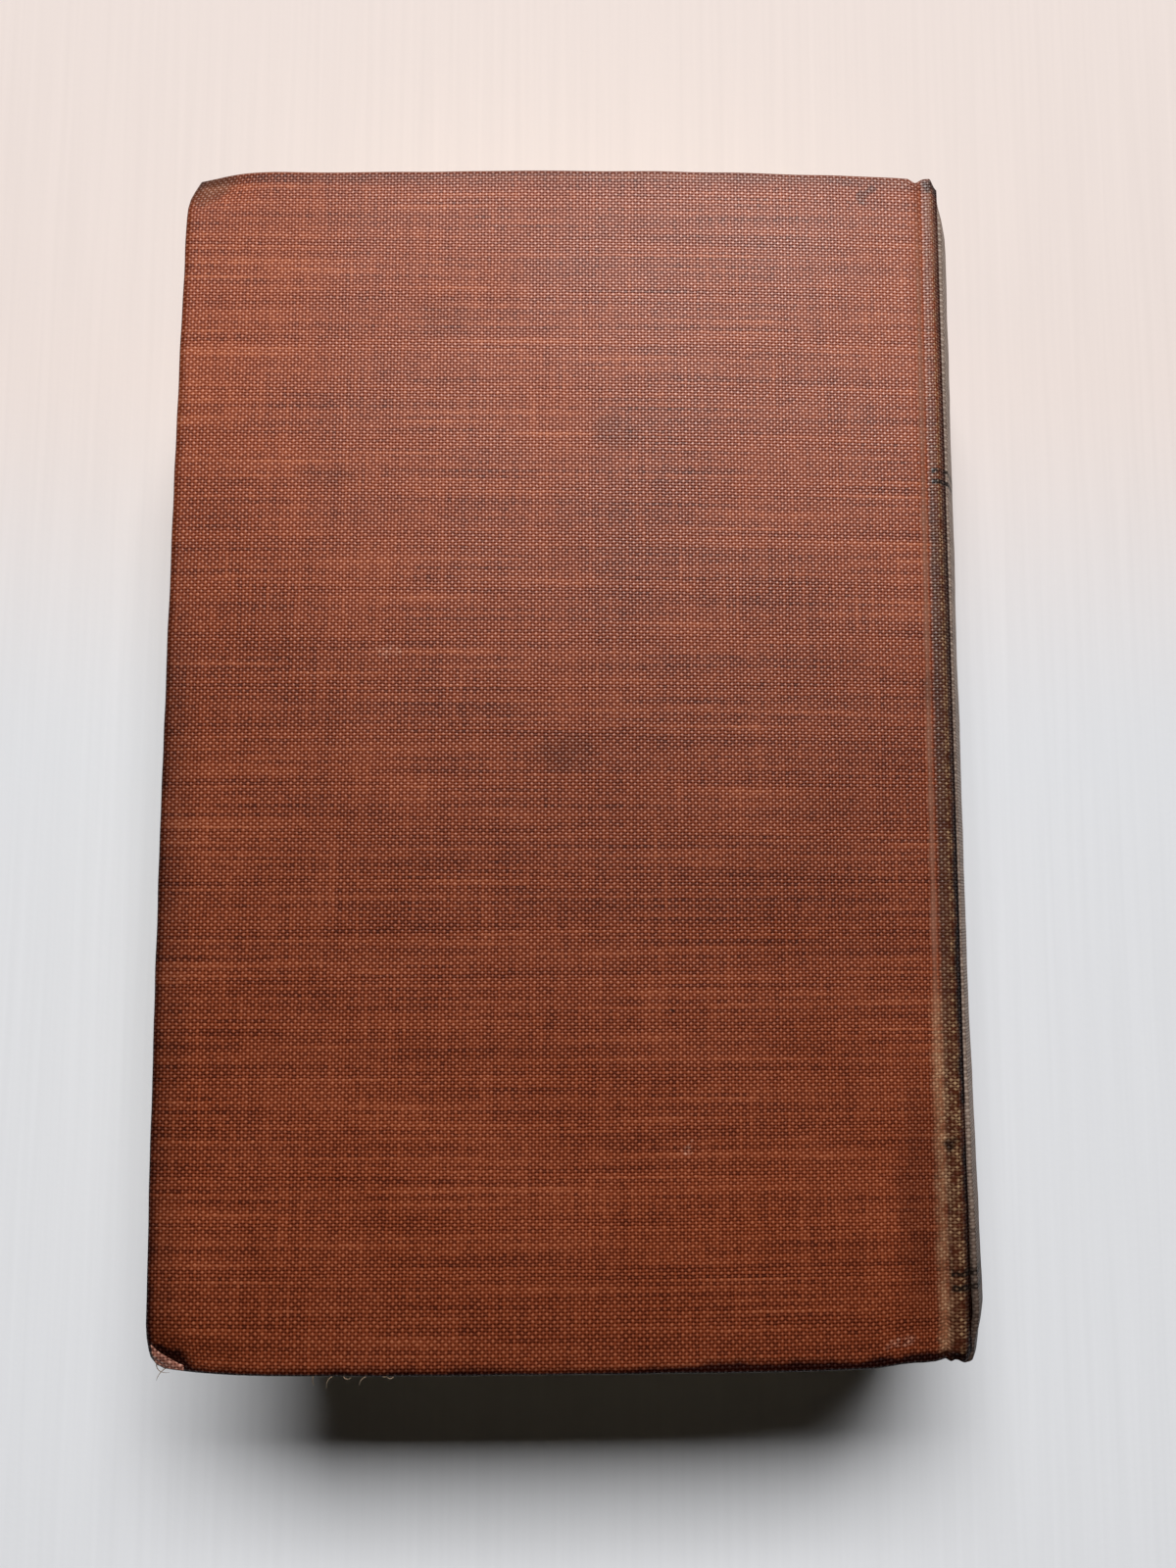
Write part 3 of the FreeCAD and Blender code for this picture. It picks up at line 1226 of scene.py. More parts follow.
@dataclass(frozen=True)
class Spot:
    """A soft-edged mark on the cloth, by its place on the flat map in millimetres."""

    x: float
    y: float
    width: float
    height: float
    strength: float = 1.0

    def mask(self, g: Graph, place: bpy.types.Node) -> bpy.types.Node:
        """Adds the nodes that are the mark's strength inside it and 0 outside.

        Args:
            g: The material's graph.
            place: The place on the cloth in millimetres, already roughened.

        Returns:
            The last node of the mask.
        """
        from_middle = g.vector("SUBTRACT", place, (self.x, self.y, 0))
        scaled = g.vector("MULTIPLY", from_middle, (2 / self.width, 2 / self.height, 0))
        away = g.vector("LENGTH", scaled).outputs["Value"]
        return g.span(away, 0.35, 1.0, self.strength, 0.0, eased=True)


@dataclass(frozen=True)
class Rim:
    """A band of soiling or rubbing along a straight line on the flat cloth."""

    along_y: bool  # whether the band's line runs along y
    line: float  # where it lies, in millimetres
    inwards: int  # which way the band reaches, or 0 for both ways
    width: float
    ragged: float  # how far its border wanders
    strength: float = 1.0
    low: float = -200.0  # the stretch of the line that it covers
    high: float = 200.0

    def mask(self, g: Graph, place: bpy.types.Node, rough: bpy.types.Node) -> bpy.types.Node:
        """Adds the nodes that are the band's strength on its line and fade out beside it.

        Args:
            g: The material's graph.
            place: The separated place on the cloth in millimetres.
            rough: Noise of 0 to 1 that roughens the border.

        Returns:
            The last node of the mask.
        """
        across, along = (place.outputs[i] for i in ((0, 1) if self.along_y else (1, 0)))
        away = g.math("SUBTRACT", across, self.line)
        if self.inwards:
            away = g.math("MULTIPLY", away, self.inwards)
        else:
            away = g.math("ABSOLUTE", away)
        worn = g.math("MULTIPLY_ADD", rough, -2 * self.ragged, away)
        band = g.span(worn, -self.ragged, self.width - self.ragged, self.strength, 0.0, eased=True)
        if self.low == Rim.low and self.high == Rim.high:
            return band
        middle, half = (self.low + self.high) / 2, (self.high - self.low) / 2
        off = g.math("SUBTRACT", along, middle)
        off = g.math("ABSOLUTE", off)
        ends = g.span(off, half * 0.6, half, 1.0, 0.0, eased=True)
        return g.math("MULTIPLY", band, ends)


class Reach(Enum):
    """How wear changes the colour of the threads."""

    COVERS = "MIX"
    DARKENS = "MULTIPLY"
    RUBS = "raised threads only"


@dataclass(frozen=True)
class Wear:
    """One kind of wear or dirt: where it lies and the colour that it leaves."""

    colour: str
    places: Tuple[Union[Rim, Spot], ...]
    reach: Reach = Reach.DARKENS


HAZE = ((0, 60.0, 1.0), (1, 90.0, 1.35))  # axis of the flat map, half its run and the most gloss


@dataclass(frozen=True)
class BookCloth:
    """Plain-woven cotton cloth, dyed, sized and pasted down.

    The weave gives rows of raised knuckles with dark gaps between them, and the size gives a
    broad soft gloss.
    """

    name: str
    # Colours from low to high in the weave; the dark gaps are partly painted shade of the hollows
    # between the threads.
    gap: str
    thread: str
    knuckle: str
    head_fade_and_light: float = 0.0  # how much lighter the dye is towards the head, partly from fading and partly as painted light of the window there
    wears: Tuple[Wear, ...] = ()
    rules: Tuple[Tuple[float, float], ...] = ()  # middle and width of each black line
    rules_start: float = 0.0  # where across the book the lines start
    ink: str = "#120c09"
    warp_pitch: float = 0.556  # millimetres between threads
    weft_pitch: float = 0.505
    relief: float = 0.07
    roughness: float = 0.46
    gloss: float = 0.86  # of the size on the raised threads
    uneven: float = 0.36  # how much the threads differ from each other
    rubbed: float = 1.0  # share of the gloss that is left on the ridge
    rubbed_from: float = 58.6  # the ridge's slope, in millimetres across the flat map
    rubbed_to: float = 59.4

    def material(self) -> bpy.types.Material:
        """Builds the cloth's material.

        Returns:
            The material, which follows the cloth's flat map.
        """
        g = Graph.of_material(self.name)
        flat = g.add("UVMap", uv_map=CLOTH_MAP)
        drift = g.grain(flat, 0.7, 3.0, "2D")
        drift = g.vector("SUBTRACT", drift.outputs["Color"], (0.5, 0.5, 0.5))
        drift = g.vector("MULTIPLY_ADD", drift, (0.3, 0.3, 0), flat)
        per_thread = (1 / self.warp_pitch, 1 / self.weft_pitch, 0)
        threads = g.vector("MULTIPLY", drift, per_thread)
        height = self.weave(g, threads)
        patch = g.grain(flat, 0.55, 4.0, "2D")
        cloud = g.grain(flat, 0.045, 4.0, "2D")
        colour = self.dye(g, threads, height, patch, cloud, flat)
        colour = self.wear(g, flat, patch, height, colour)
        rough = g.math("MULTIPLY_ADD", cloud, 0.16, self.roughness - 0.08)
        deep = g.math("MULTIPLY_ADD", patch, 0.35, height)
        bump = g.add("Bump", {"Height": deep, "Distance": self.relief * MM, "Strength": 1.0})
        sized = g.span(height, 0.25, 0.95, 0.0, self.gloss)
        split = g.add("SeparateXYZ", {0: flat})
        polish = [
            g.span(split.outputs[axis], -reach, reach, 0.0, most)
            for axis, reach, most in HAZE
        ]
        polished = g.math("MULTIPLY", polish[0], polish[1])
        polished = g.math("ADD", polished, 0.8)
        dulled = g.span(split.outputs[0], self.rubbed_from, self.rubbed_to, 1.0, self.rubbed)
        polished = g.math("MULTIPLY", polished, dulled)
        sized = g.math("MULTIPLY", sized, polished)
        return g.finish(
            {
                "Base Color": colour,
                "Roughness": rough,
                "Specular IOR Level": sized,
                "Normal": bump,
                "IOR": 1.5,
            }
        )

    def weave(self, g: Graph, threads: bpy.types.Node) -> bpy.types.Node:
        """Adds the height of the plain weave, from 0 in the gaps to 1 on the knuckles.

        Args:
            g: The material's graph.
            threads: The place counted in threads.

        Returns:
            The last node of the height.
        """
        split = g.add("SeparateXYZ", {0: threads})
        waves = []
        for axis in (0, 1):
            turn = g.math("MULTIPLY", split.outputs[axis], math.pi)
            waves.append(g.math("COSINE", turn))
        parity = g.math("MULTIPLY", waves[0], waves[1])
        ridges = [g.math("ABSOLUTE", wave) for wave in waves]
        parity = g.math("MULTIPLY", parity, ridges[0])
        weft = g.math("MULTIPLY", ridges[1], 0.48)
        warp = g.math("MULTIPLY", ridges[0], 0.4)
        crossing = g.math("MAXIMUM", weft, warp)
        knuckle = g.span(parity, -0.05, 0.85, 0.0, 0.52)
        return g.math("ADD", crossing, knuckle)

    def thread_tones(self, g: Graph, threads: bpy.types.Node) -> bpy.types.Node:
        """Adds the tone of each thread, which changes slowly along it; a few stand out pale.

        Args:
            g: The material's graph.
            threads: The place counted in threads.

        Returns:
            The sum of the tones of both threads, about 1.
        """
        split = g.add("SeparateXYZ", {0: threads})
        tones = []
        for axis, slow in ((1, 0.014), (0, 0.03)):
            number = g.math("ROUND", split.outputs[axis])
            apart = g.math("MULTIPLY", number, 3.7)
            along = g.math("MULTIPLY", split.outputs[1 - axis], slow)
            spot = g.add("CombineXYZ", {0: along, 1: apart})
            tones.append(g.grain(spot, 1.0, 2.0, "2D"))
        thick = g.math("MULTIPLY", tones[1], 0.94)
        thick = g.math("MAXIMUM", tones[0], thick)
        pale = g.span(thick, 0.62, 0.76, 0.0, 0.18)
        both = g.math("MULTIPLY", tones[1], 0.6)
        both = g.math("MULTIPLY_ADD", tones[0], 1.4, both)
        return g.math("ADD", both, pale)

    def dye(
        self,
        g: Graph,
        threads: bpy.types.Node,
        height: bpy.types.Node,
        patch: bpy.types.Node,
        cloud: bpy.types.Node,
        flat: bpy.types.Node,
    ) -> bpy.types.Node:
        """Adds the colour of the dyed threads.

        Args:
            g: The material's graph.
            threads: The place counted in threads.
            height: The height of the weave.
            patch: Noise a few threads wide.
            cloud: Noise some centimetres wide.
            flat: The place in millimetres.

        Returns:
            The last node of the colour.
        """
        tone = self.thread_tones(g, threads)
        crossing = g.vector("ADD", threads, (0.5, 0.5, 0))
        crossing = g.vector("FLOOR", crossing)
        chance = g.add("TexWhiteNoise", {"Vector": crossing}, noise_dimensions="2D")
        tone = g.math("MULTIPLY_ADD", chance.outputs["Value"], 0.4, tone)
        tone = g.math("MULTIPLY_ADD", patch, 0.3, tone)
        tone = g.math("MULTIPLY_ADD", cloud, 0.4, tone)
        lifted = g.math("MULTIPLY_ADD", tone, self.uneven, -1.55 * self.uneven)
        lifted = g.math("ADD", height, lifted)
        split = g.add("SeparateXYZ", {0: flat})
        # Lighter towards the head: partly faded dye, partly painted light from the window behind
        # the head.
        rise = g.math("MULTIPLY_ADD", cloud, 40.0, split.outputs[1])
        faded_and_lit = g.span(rise, -10.0, 100.0, 0.0, self.head_fade_and_light, eased=True)
        lifted = g.math("MULTIPLY_ADD", faded_and_lit, 0.22, lifted)
        # Darker where the weave lies low: partly painted shade of the hollows between the threads.
        low = g.span(lifted, 0.08, 0.56, eased=True)
        high = g.span(lifted, 0.5, 1.0, eased=True)
        body = g.mix(low, self.gap, self.thread)
        body = g.mix(high, body, self.knuckle)
        lighter = g.math("ADD", faded_and_lit, 1.0)
        return g.add("VectorMath", {0: body, "Scale": lighter}, operation="SCALE")

    def wear(
        self,
        g: Graph,
        flat: bpy.types.Node,
        patch: bpy.types.Node,
        height: bpy.types.Node,
        colour: bpy.types.Node,
    ) -> bpy.types.Node:
        """Adds each kind of wear and the ruled lines over the dyed threads.

        Args:
            g: The material's graph.
            flat: The place in millimetres.
            patch: Noise a few threads wide.
            height: The height of the weave.
            colour: The colour of the threads.

        Returns:
            The colour with its wear.
        """
        rough = g.grain(flat, 0.22, 5.0, "2D")
        shift = g.vector("SUBTRACT", rough.outputs["Color"], (0.5, 0.5, 0.5))
        place = g.vector("MULTIPLY_ADD", shift, (5, 5, 0), flat)
        split = g.add("SeparateXYZ", {0: flat})
        specks = g.grain(flat, 1.5, 2.0, "2D")
        specks = g.math("MULTIPLY_ADD", specks, 0.6, patch)
        grain = g.math("MULTIPLY_ADD", specks, 5.0, -3.4, use_clamp=True)
        raised = g.span(height, 0.3, 0.8)
        raised = g.math("MULTIPLY", raised, grain)
        for layer in self.wears:
            masks = [
                spot.mask(g, split, rough) if isinstance(spot, Rim) else spot.mask(g, place)
                for spot in layer.places
            ]
            mask = masks[0]
            for other in masks[1:]:
                mask = g.math("ADD", mask, other, use_clamp=True)
            if layer.reach is Reach.RUBS:
                mask = g.math("MULTIPLY", mask, raised)
            colour = g.mix(
                mask,
                colour,
                layer.colour,
                blend_type="MULTIPLY" if layer.reach is Reach.DARKENS else "MIX",
            )
        left = g.math("MULTIPLY_ADD", height, -0.35, patch)
        for middle, width in self.rules:
            line = self.rule(g, split, left, middle, width)
            colour = g.mix(line, colour, self.ink)
        return colour

    def rule(
        self,
        g: Graph,
        split: bpy.types.Node,
        left: bpy.types.Node,
        middle: float,
        width: float,
    ) -> bpy.types.Node:
        """Adds one blocked black line across the spine, broken where its ink has rubbed off.

        Args:
            g: The material's graph.
            split: The separated place in millimetres.
            left: Rough value that is low where the ink has gone, as on the knuckles.
            middle: Where the line lies along the spine.
            width: Its width.

        Returns:
            The last node of the line's mask.
        """
        off = g.math("SUBTRACT", split.outputs[1], middle)
        off = g.math("ABSOLUTE", off)
        line = g.span(off, width * 0.3, width * 0.7, 0.92, 0.0)
        begun = g.math("GREATER_THAN", split.outputs[0], self.rules_start)
        kept = g.span(left, 0.12, 0.36, 0.25, 1.0)
        line = g.math("MULTIPLY", line, begun)
        return g.math("MULTIPLY", line, kept)


@dataclass(frozen=True)
class PulpSheet:
    """Board, card or paper laid down from pulp: fibres and specks in a dull, even ground."""

    name: str
    light: str
    dark: str
    speck: str
    fibre: float  # length of a fibre in millimetres
    contrast: float
    relief: float
    roughness: float = 0.85
    foxing: float = 0.0
    browned: float = 0.0  # towards the sheet's edges
    half_width: float = 64.0
    half_height: float = 95.5

    def material(self) -> bpy.types.Material:
        """Builds the sheet's material.

        Returns:
            The material, which reads Object coordinates.
        """
        g = Graph.of_material(self.name)
        place = g.add("TexCoord").outputs["Object"]
        place = g.vector("MULTIPLY", place, TO_MM)
        fibres = []
        for stretch in ((1, 0.14, 1), (0.16, 1, 1)):
            along = g.vector("MULTIPLY", place, stretch)
            fibres.append(g.grain(along, 3 / self.fibre, 3.0))
        felt = g.math("ADD", fibres[0], fibres[1])
        cloud = g.grain(place, 0.07, 4.0)
        tone = g.math("MULTIPLY_ADD", cloud, 0.8, felt)
        tone = g.span(tone, 1.4 - 0.45 / self.contrast, 1.4 + 0.45 / self.contrast)
        colour = g.mix(tone, self.dark, self.light)
        spots = g.add("TexNoise", {"Vector": place, "Scale": 0.35, "Detail": 2.0, "Roughness": 0.7})
        spots = g.span(spots, 0.66, 0.8, 0.0, self.foxing)
        edges = self.browning(g, place, cloud)
        spots = g.math("ADD", spots, edges, use_clamp=True)
        colour = g.mix(spots, colour, self.speck)
        bump = g.add("Bump", {"Height": felt, "Distance": self.relief * MM, "Strength": 0.8})
        return g.finish(
            {"Base Color": colour, "Normal": bump, "Roughness": self.roughness, "IOR": 1.45}
        )

    def browning(self, g: Graph, place: bpy.types.Node, cloud: bpy.types.Node) -> bpy.types.Node:
        """Adds the mask of the sheet's browned border.

        Args:
            g: The material's graph.
            place: The place in millimetres.
            cloud: Noise some centimetres wide.

        Returns:
            The last node of the mask.
        """
        split = g.add("SeparateXYZ", {0: place})
        nearest = []
        for axis, half in ((0, self.half_width), (1, self.half_height)):
            off = g.math("ABSOLUTE", split.outputs[axis])
            nearest.append(g.math("SUBTRACT", half, off))
        away = g.math("MINIMUM", nearest[0], nearest[1])
        away = g.math("MULTIPLY_ADD", cloud, 14.0, away)
        return g.span(away, 4.0, 24.0, self.browned, 0.0, eased=True)


@dataclass(frozen=True)
class PageEdges:
    """Trimmed edges of aged book paper: fine lines of leaves, browned and dusty."""

    name: str
    light: str = "#d9c9a6"
    dark: str = "#8f7750"
    dust: str = "#6b5a45"
    leaf: float = 0.34  # the drawn pitch; the real leaves lie 0.13 mm apart, too fine to show

    def material(self) -> bpy.types.Material:
        """Builds the material of the pages.

        Returns:
            The material, which follows the leaves' attribute.
        """
        g = Graph.of_material(self.name)
        leaf = g.add("Attribute", attribute_name=LEAF_ATTRIBUTE).outputs["Fac"]
        place = g.add("TexCoord").outputs["Object"]
        place = g.vector("MULTIPLY", place, TO_MM)
        split = g.add("SeparateXYZ", {0: place})
        lines = []
        for pitch, slow in ((self.leaf, 0.05), (self.leaf * 4.7, 0.02)):
            across = g.math("MULTIPLY", leaf, 1 / pitch)
            x_slow = g.math("MULTIPLY", split.outputs[0], slow)
            y_slow = g.math("MULTIPLY", split.outputs[1], slow)
            spot = g.add("CombineXYZ", {0: x_slow, 1: y_slow, 2: across})
            lines.append(g.grain(spot, 1.0, 2.0))
        stripe = g.math("MULTIPLY_ADD", lines[1], 0.5, lines[0])
        tone = g.span(stripe, 0.45, 0.95)
        colour = g.mix(tone, self.dark, self.light)
        cloud = g.grain(place, 0.09, 5.0)
        grime = g.span(cloud, 0.45, 0.8, 0.0, 0.32)
        colour = g.mix(grime, colour, self.dust)
        bump = g.add("Bump", {"Height": stripe, "Distance": 0.1 * MM, "Strength": 1.0})
        return g.finish({"Base Color": colour, "Normal": bump, "Roughness": 0.82, "IOR": 1.45})


@dataclass(frozen=True)
class OpenWeave:
    """Mull or linen thread: undyed spun yarn, with dark glue in the gaps of the weave."""

    name: str
    yarn: str
    shade: str
    pitch: float  # millimetres between yarns
    relief: float

    def material(self) -> bpy.types.Material:
        """Builds the yarn's material.

        Returns:
            The material, which reads Object coordinates.
        """
        g = Graph.of_material(self.name)
        place = g.add("TexCoord").outputs["Object"]
        split = g.add("SeparateXYZ", {0: place})
        bands = []
        for axis in (0, 1):
            turn = g.math("MULTIPLY", split.outputs[axis], math.pi / (self.pitch * MM))
            wave = g.math("COSINE", turn)
            bands.append(g.math("ABSOLUTE", wave))
        height = g.math("MAXIMUM", bands[0], bands[1])
        hairs = g.grain(place, 2600.0, 3.0)
        tone = g.math("MULTIPLY_ADD", hairs, 0.5, height)
        tone = g.span(tone, 0.85, 1.3)
        colour = g.mix(tone, self.shade, self.yarn)
        bump = g.add("Bump", {"Height": tone, "Distance": self.relief * MM, "Strength": 1.0})
        return g.finish({"Base Color": colour, "Normal": bump, "Roughness": 0.9, "IOR": 1.45})


JOINT = SIZES.joint_x / MM
FORE, HALF = SIZES.fore_x / MM, SIZES.half_height / MM
RULES = ((46.3, 0.9), (44.4, 0.9), (-85.1, 1.1), (-87.3, 1.1))
GRIME_AND_SHADE, TAN, WORN_BROWN = "#4a3528", "#b3946f", "#351c10"
SOILED_AND_SHADED_EDGES = (
    Rim(True, FORE, 1, 2.0, 0.5, 0.5),
    Rim(True, FORE, 1, 8.0, 1.0, 0.4, -130.0, 40.0),
    Rim(False, HALF, -1, 3.6, 0.6, 0.5),
    # Along the foot edge: dirt and painted shade of the rounded edge that faces away from the
    # window light; the wide band darkens the cloth towards the foot.
    Rim(False, -HALF, 1, 2.2, 0.7, 0.85),
    Rim(False, -HALF, 1, 26.0, 2.0, 0.2),
)
RUBBED_RIDGE = (
    Rim(True, JOINT - 0.3, -1, 0.9, 0.35, 0.35),
    Rim(True, JOINT - 0.3, -1, 0.9, 0.35, 0.45, -150.0, 70.0),
)


def back_cloth() -> BookCloth:
    """The cloth of the upper cover: faded, soiled, stained and rubbed."""
    return BookCloth(
        "Woven_book_cloth_red_brown",
        gap="#3a1206",
        thread="#78351a",
        knuckle="#a76141",
        # Lighter towards the head: faded dye and painted window light.
        head_fade_and_light=0.42,
        rubbed=0.6,
        wears=(
            # Worn threads along the ridge, and their pale knuckles.
            Wear(WORN_BROWN, RUBBED_RIDGE, Reach.COVERS),
            Wear(
                TAN,
                (
                    Rim(True, JOINT + 1.3, 0, 1.0, 0.3, 0.6),
                    Rim(True, JOINT - 0.2, -1, 1.0, 0.35, 0.2),
                    Spot(JOINT - 0.1, -66.0, 3.6, 60.0, 0.3),
                ),
                Reach.RUBS,
            ),
            # A duller brown in the valley beside the ridge, a painted sheen for the gloss that its
            # slope does not catch; and the ridge's end at the head.
            Wear(
                "#8e6350",
                (
                    Rim(True, JOINT - 1.7, 0, 0.9, 0.4, 0.65, -60.0, 105.0),
                    Spot(JOINT + 1.0, 90.0, 3.0, 34.0, 0.35),
                ),
                Reach.COVERS,
            ),
            # The pale strip beside the ridge towards the foot.
            Wear(
                "#9a7355",
                (Rim(True, JOINT - 1.5, 0, 1.7, 0.8, 0.4, -122.0, -34.0),),
                Reach.COVERS,
            ),
            Wear(
                "#c09a78",
                (Rim(True, JOINT - 1.5, 0, 1.9, 0.8, 0.8, -122.0, -34.0),),
                Reach.RUBS,
            ),
            # The corner at the head of the fore-edge, darker brown: soiling, and painted shade
            # where the corner bends down.
            Wear("#56341f", (Spot(-66.5, 97.0, 17.0, 12.0, 0.7),), Reach.COVERS),
            # Small pale rubs.
            Wear(
                "#d09c84",
                (
                    Spot(-31.3, 14.1, 5.0, 2.5, 0.6),
                    Spot(17.3, -66.2, 2.4, 2.4, 0.9),
                    Spot(50.5, -95.5, 7.0, 2.0, 0.8),
                    Spot(54.5, 96.3, 6.0, 2.4, 0.5),
                    Spot(-63.5, 96.0, 7.0, 3.0, 0.4),
                ),
                Reach.RUBS,
            ),
            # Dirt at the edges, beside the joint and in spots; at the foot edge and on the ridge's
            # slope into the crease it is partly painted shade.
            Wear(
                GRIME_AND_SHADE,
                SOILED_AND_SHADED_EDGES
                + (
                    # Painted shade with dirt along the foot edge beside the spine.
                    Rim(False, -HALF, 1, 3.0, 0.8, 1.0, 6.0, 92.0),
                    # Painted shade with dirt: the ridge's slope down into the crease beside the
                    # spine.
                    Rim(True, JOINT + 2.8, -1, 1.8, 0.3, 0.9),
                    Spot(JOINT + 2.4, -45.0, 2.0, 100.0, 0.4),
                    Spot(54.5, -74.0, 13.0, 52.0, 0.35),
                    Spot(-64.6, -96.4, 10.0, 6.5, 1.0),
                    Spot(49.0, 94.6, 3.4, 3.4, 0.5),
                    Spot(-3.2, -2.4, 13.0, 8.0, 0.3),
                    Spot(5.7, 52.0, 11.0, 8.0, 0.24),
                    Spot(-23.2, 71.4, 14.0, 10.0, 0.14),
                    Spot(-43.0, 44.0, 14.0, 5.0, 0.15),
                    Spot(14.8, -44.4, 1.4, 1.4, 0.8),
                    Spot(59.2, -65.3, 2.4, 2.4, 0.8),
                    Spot(57.5, 8.9, 4.0, 8.0, 0.3),
                    Spot(59.5, 97.5, 3.0, 3.0, 0.5),
                ),
            ),
        ),
        rules=RULES,
        rules_start=JOINT - 0.2,
    )


def front_cloth() -> BookCloth:
    """The cloth of the cover that the book lies on."""
    return BookCloth(
        "Woven_book_cloth_red_brown_under",
        gap="#3a1206",
        thread="#76341a",
        knuckle="#a45e3f",
        head_fade_and_light=0.12,
        rubbed=0.4,
        wears=(
            Wear(WORN_BROWN, RUBBED_RIDGE, Reach.COVERS),
            Wear(
                TAN,
                (
                    Rim(True, JOINT - 0.2, -1, 1.0, 0.3, 0.8),
                    Spot(30.0, 70.0, 9.0, 5.0, 0.7),
                    Spot(-66.0, -97.0, 7.0, 6.0, 0.9),
                ),
                Reach.RUBS,
            ),
            Wear(
                GRIME_AND_SHADE,
                SOILED_AND_SHADED_EDGES
                + (
                    Spot(-20.0, 40.0, 26.0, 18.0, 0.2),
                    Spot(25.0, -50.0, 16.0, 22.0, 0.2),
                ),
            ),
        ),
        rules=RULES,
        rules_start=JOINT - 0.2,
    )


def spine_cloth() -> BookCloth:
    """The cloth of the spine, which the light has faded most; its grey taupe is partly painted
    sheen of the light grazing the curved spine.
    """
    return BookCloth(
        "Woven_book_cloth_faded_taupe",
        gap="#54463f",
        thread="#857367",
        knuckle="#a39285",
        gloss=0.5,
        head_fade_and_light=0.15,
        wears=(
            Wear(
                "#4a3328",
                (
                    Rim(False, HALF, -1, 2.0, 0.8, 0.6),
                    Rim(False, -HALF, 1, 45.0, 2.0, 0.8),
                    Spot(80.0, 30.0, 12.0, 30.0, 0.3),
                    Spot(70.0, -40.0, 10.0, 26.0, 0.3),
                ),
            ),
        ),
        rules=RULES,
        roughness=0.55,
    )


def turned_cloth() -> BookCloth:
    """The folded flap's cloth, which shows its paler inside."""
    return BookCloth(
        "Woven_book_cloth_turned_over",
        gap="#43211a",
        thread="#8f5f50",
        knuckle="#c2917e",
    )


def dress(piece: bpy.types.Object, material: bpy.types.Material) -> None:
    """Gives a piece one material all over."""
    if not piece.data.materials:
        piece.data.materials.append(material)
    for holder in piece.material_slots:
        holder.material = material


@dataclass(frozen=True)
class Finishes:
    """The materials that several sub-assemblies share."""

    back_cloth: bpy.types.Material
    front_cloth: bpy.types.Material
    spine_cloth: bpy.types.Material
    turned_cloth: bpy.types.Material
    fibres: bpy.types.Material
    greyboard: bpy.types.Material
    endpaper: bpy.types.Material
    pages: bpy.types.Material
    mull: bpy.types.Material
    kraft: bpy.types.Material
    card: bpy.types.Material
    thread: bpy.types.Material

    @classmethod
    def make(cls) -> "Finishes":
        """Makes every finish of the book.

        Returns:
            The materials.
        """
        return cls(
            back_cloth=back_cloth().material(),
            front_cloth=front_cloth().material(),
            spine_cloth=spine_cloth().material(),
            turned_cloth=turned_cloth().material(),
            greyboard=PulpSheet(
                "Greyboard_pressed_pulp", "#8d8477", "#655d52", "#4c443b", 1.6, 0.5, 0.06
            ).material(),
            endpaper=PulpSheet(
                "Endpaper_wove_aged",
                "#e6dabd",
                "#d3c39f",
                "#b28f5d",
                1.2,
                0.35,
                0.012,
                foxing=0.5,
                browned=0.55,
            ).material(),
            pages=PageEdges("Page_edges_trimmed_aged_paper").material(),
            mull=OpenWeave("Mull_cotton_gauze", "#d8cdb4", "#a28f6c", 0.95, 0.12).material(),
            kraft=PulpSheet(
                "Kraft_paper_lining", "#a88257", "#86633d", "#5f452a", 1.8, 0.45, 0.02
            ).material(),
            card=PulpSheet(
                "Manila_card_liner", "#c7ae7c", "#a98f5e", "#856b42", 1.4, 0.4, 0.015
            ).material(),
            thread=OpenWeave("Linen_thread_waxed", "#e3d9c2", "#b3a484", 0.3, 0.05).material(),
            fibres=OpenWeave("Cotton_fibres_greyed", "#93816b", "#5f4a3a", 0.25, 0.03).material(),
        )


@dataclass(frozen=True)
class Cover:
    """One cover: cloth, board, pastedown and the strip that joins it to its flyleaf."""

    sizes: BookSizes
    form: CoverForm
    finishes: Finishes
    cloth_finish: bpy.types.Material
    paper: float = 0.15 * MM

    @property
    def side(self) -> str:
        """The first word of the names of this cover's nodes."""
        return "back" if self.form.body is Body.BACK else "front"

    def across_joint(self, piece: bpy.types.Object) -> None:
        """Bakes a piece's transform into its mesh.

        Args:
            piece: The piece.
        """
        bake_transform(piece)

    def build(self) -> List[bpy.types.Object]:
        """Builds and dresses the cover's pieces.

        Returns:
            The pieces.
        """
        s, side, body = self.sizes, self.side, self.form.body.value
        cloth = CoverCloth(s, self.form, f"{side}_cloth_woven").build()
        dress(cloth, self.cloth_finish)
        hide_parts(f"{side}_cover_cloth")
        self.across_joint(cloth)

        board = CoverBoard(s, self.form, f"{side}_greyboard").build()
        dress(board, self.finishes.greyboard)
        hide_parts(f"{side}_board")
        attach(board, body)

        inner = s.cover_inner + self.paper
        spine_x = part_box(f"{side}_pastedown")[1].x
        pastedown = Leaf(s, self.form, f"{side}_pasted_leaf", inner, spine_x, glued=True).build()
        dress(pastedown, self.finishes.endpaper)
        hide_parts(f"{side}_pastedown")
        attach(pastedown, body)

        strip = EndpaperJoint(s, self.form, f"{side}_endpaper_joint").build()
        dress(strip, self.finishes.endpaper)
        self.across_joint(strip)
        return [cloth, board, pastedown, strip]

    def build_fray(self) -> List[bpy.types.Object]:
        """Builds the loose threads and the folded corner of the cloth.

        Returns:
            The pieces.
        """
        fray = Fray(self.sizes, self.form, f"{self.side}_loose_threads").build()
        corner = WornCorner(self.sizes, self.form, f"{self.side}_worn_corner").build()
        dress(fray, self.finishes.fibres)
        dress(corner, self.finishes.turned_cloth)
        for piece in (fray, corner):
            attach(piece, self.form.body.value)
        return [fray, corner]


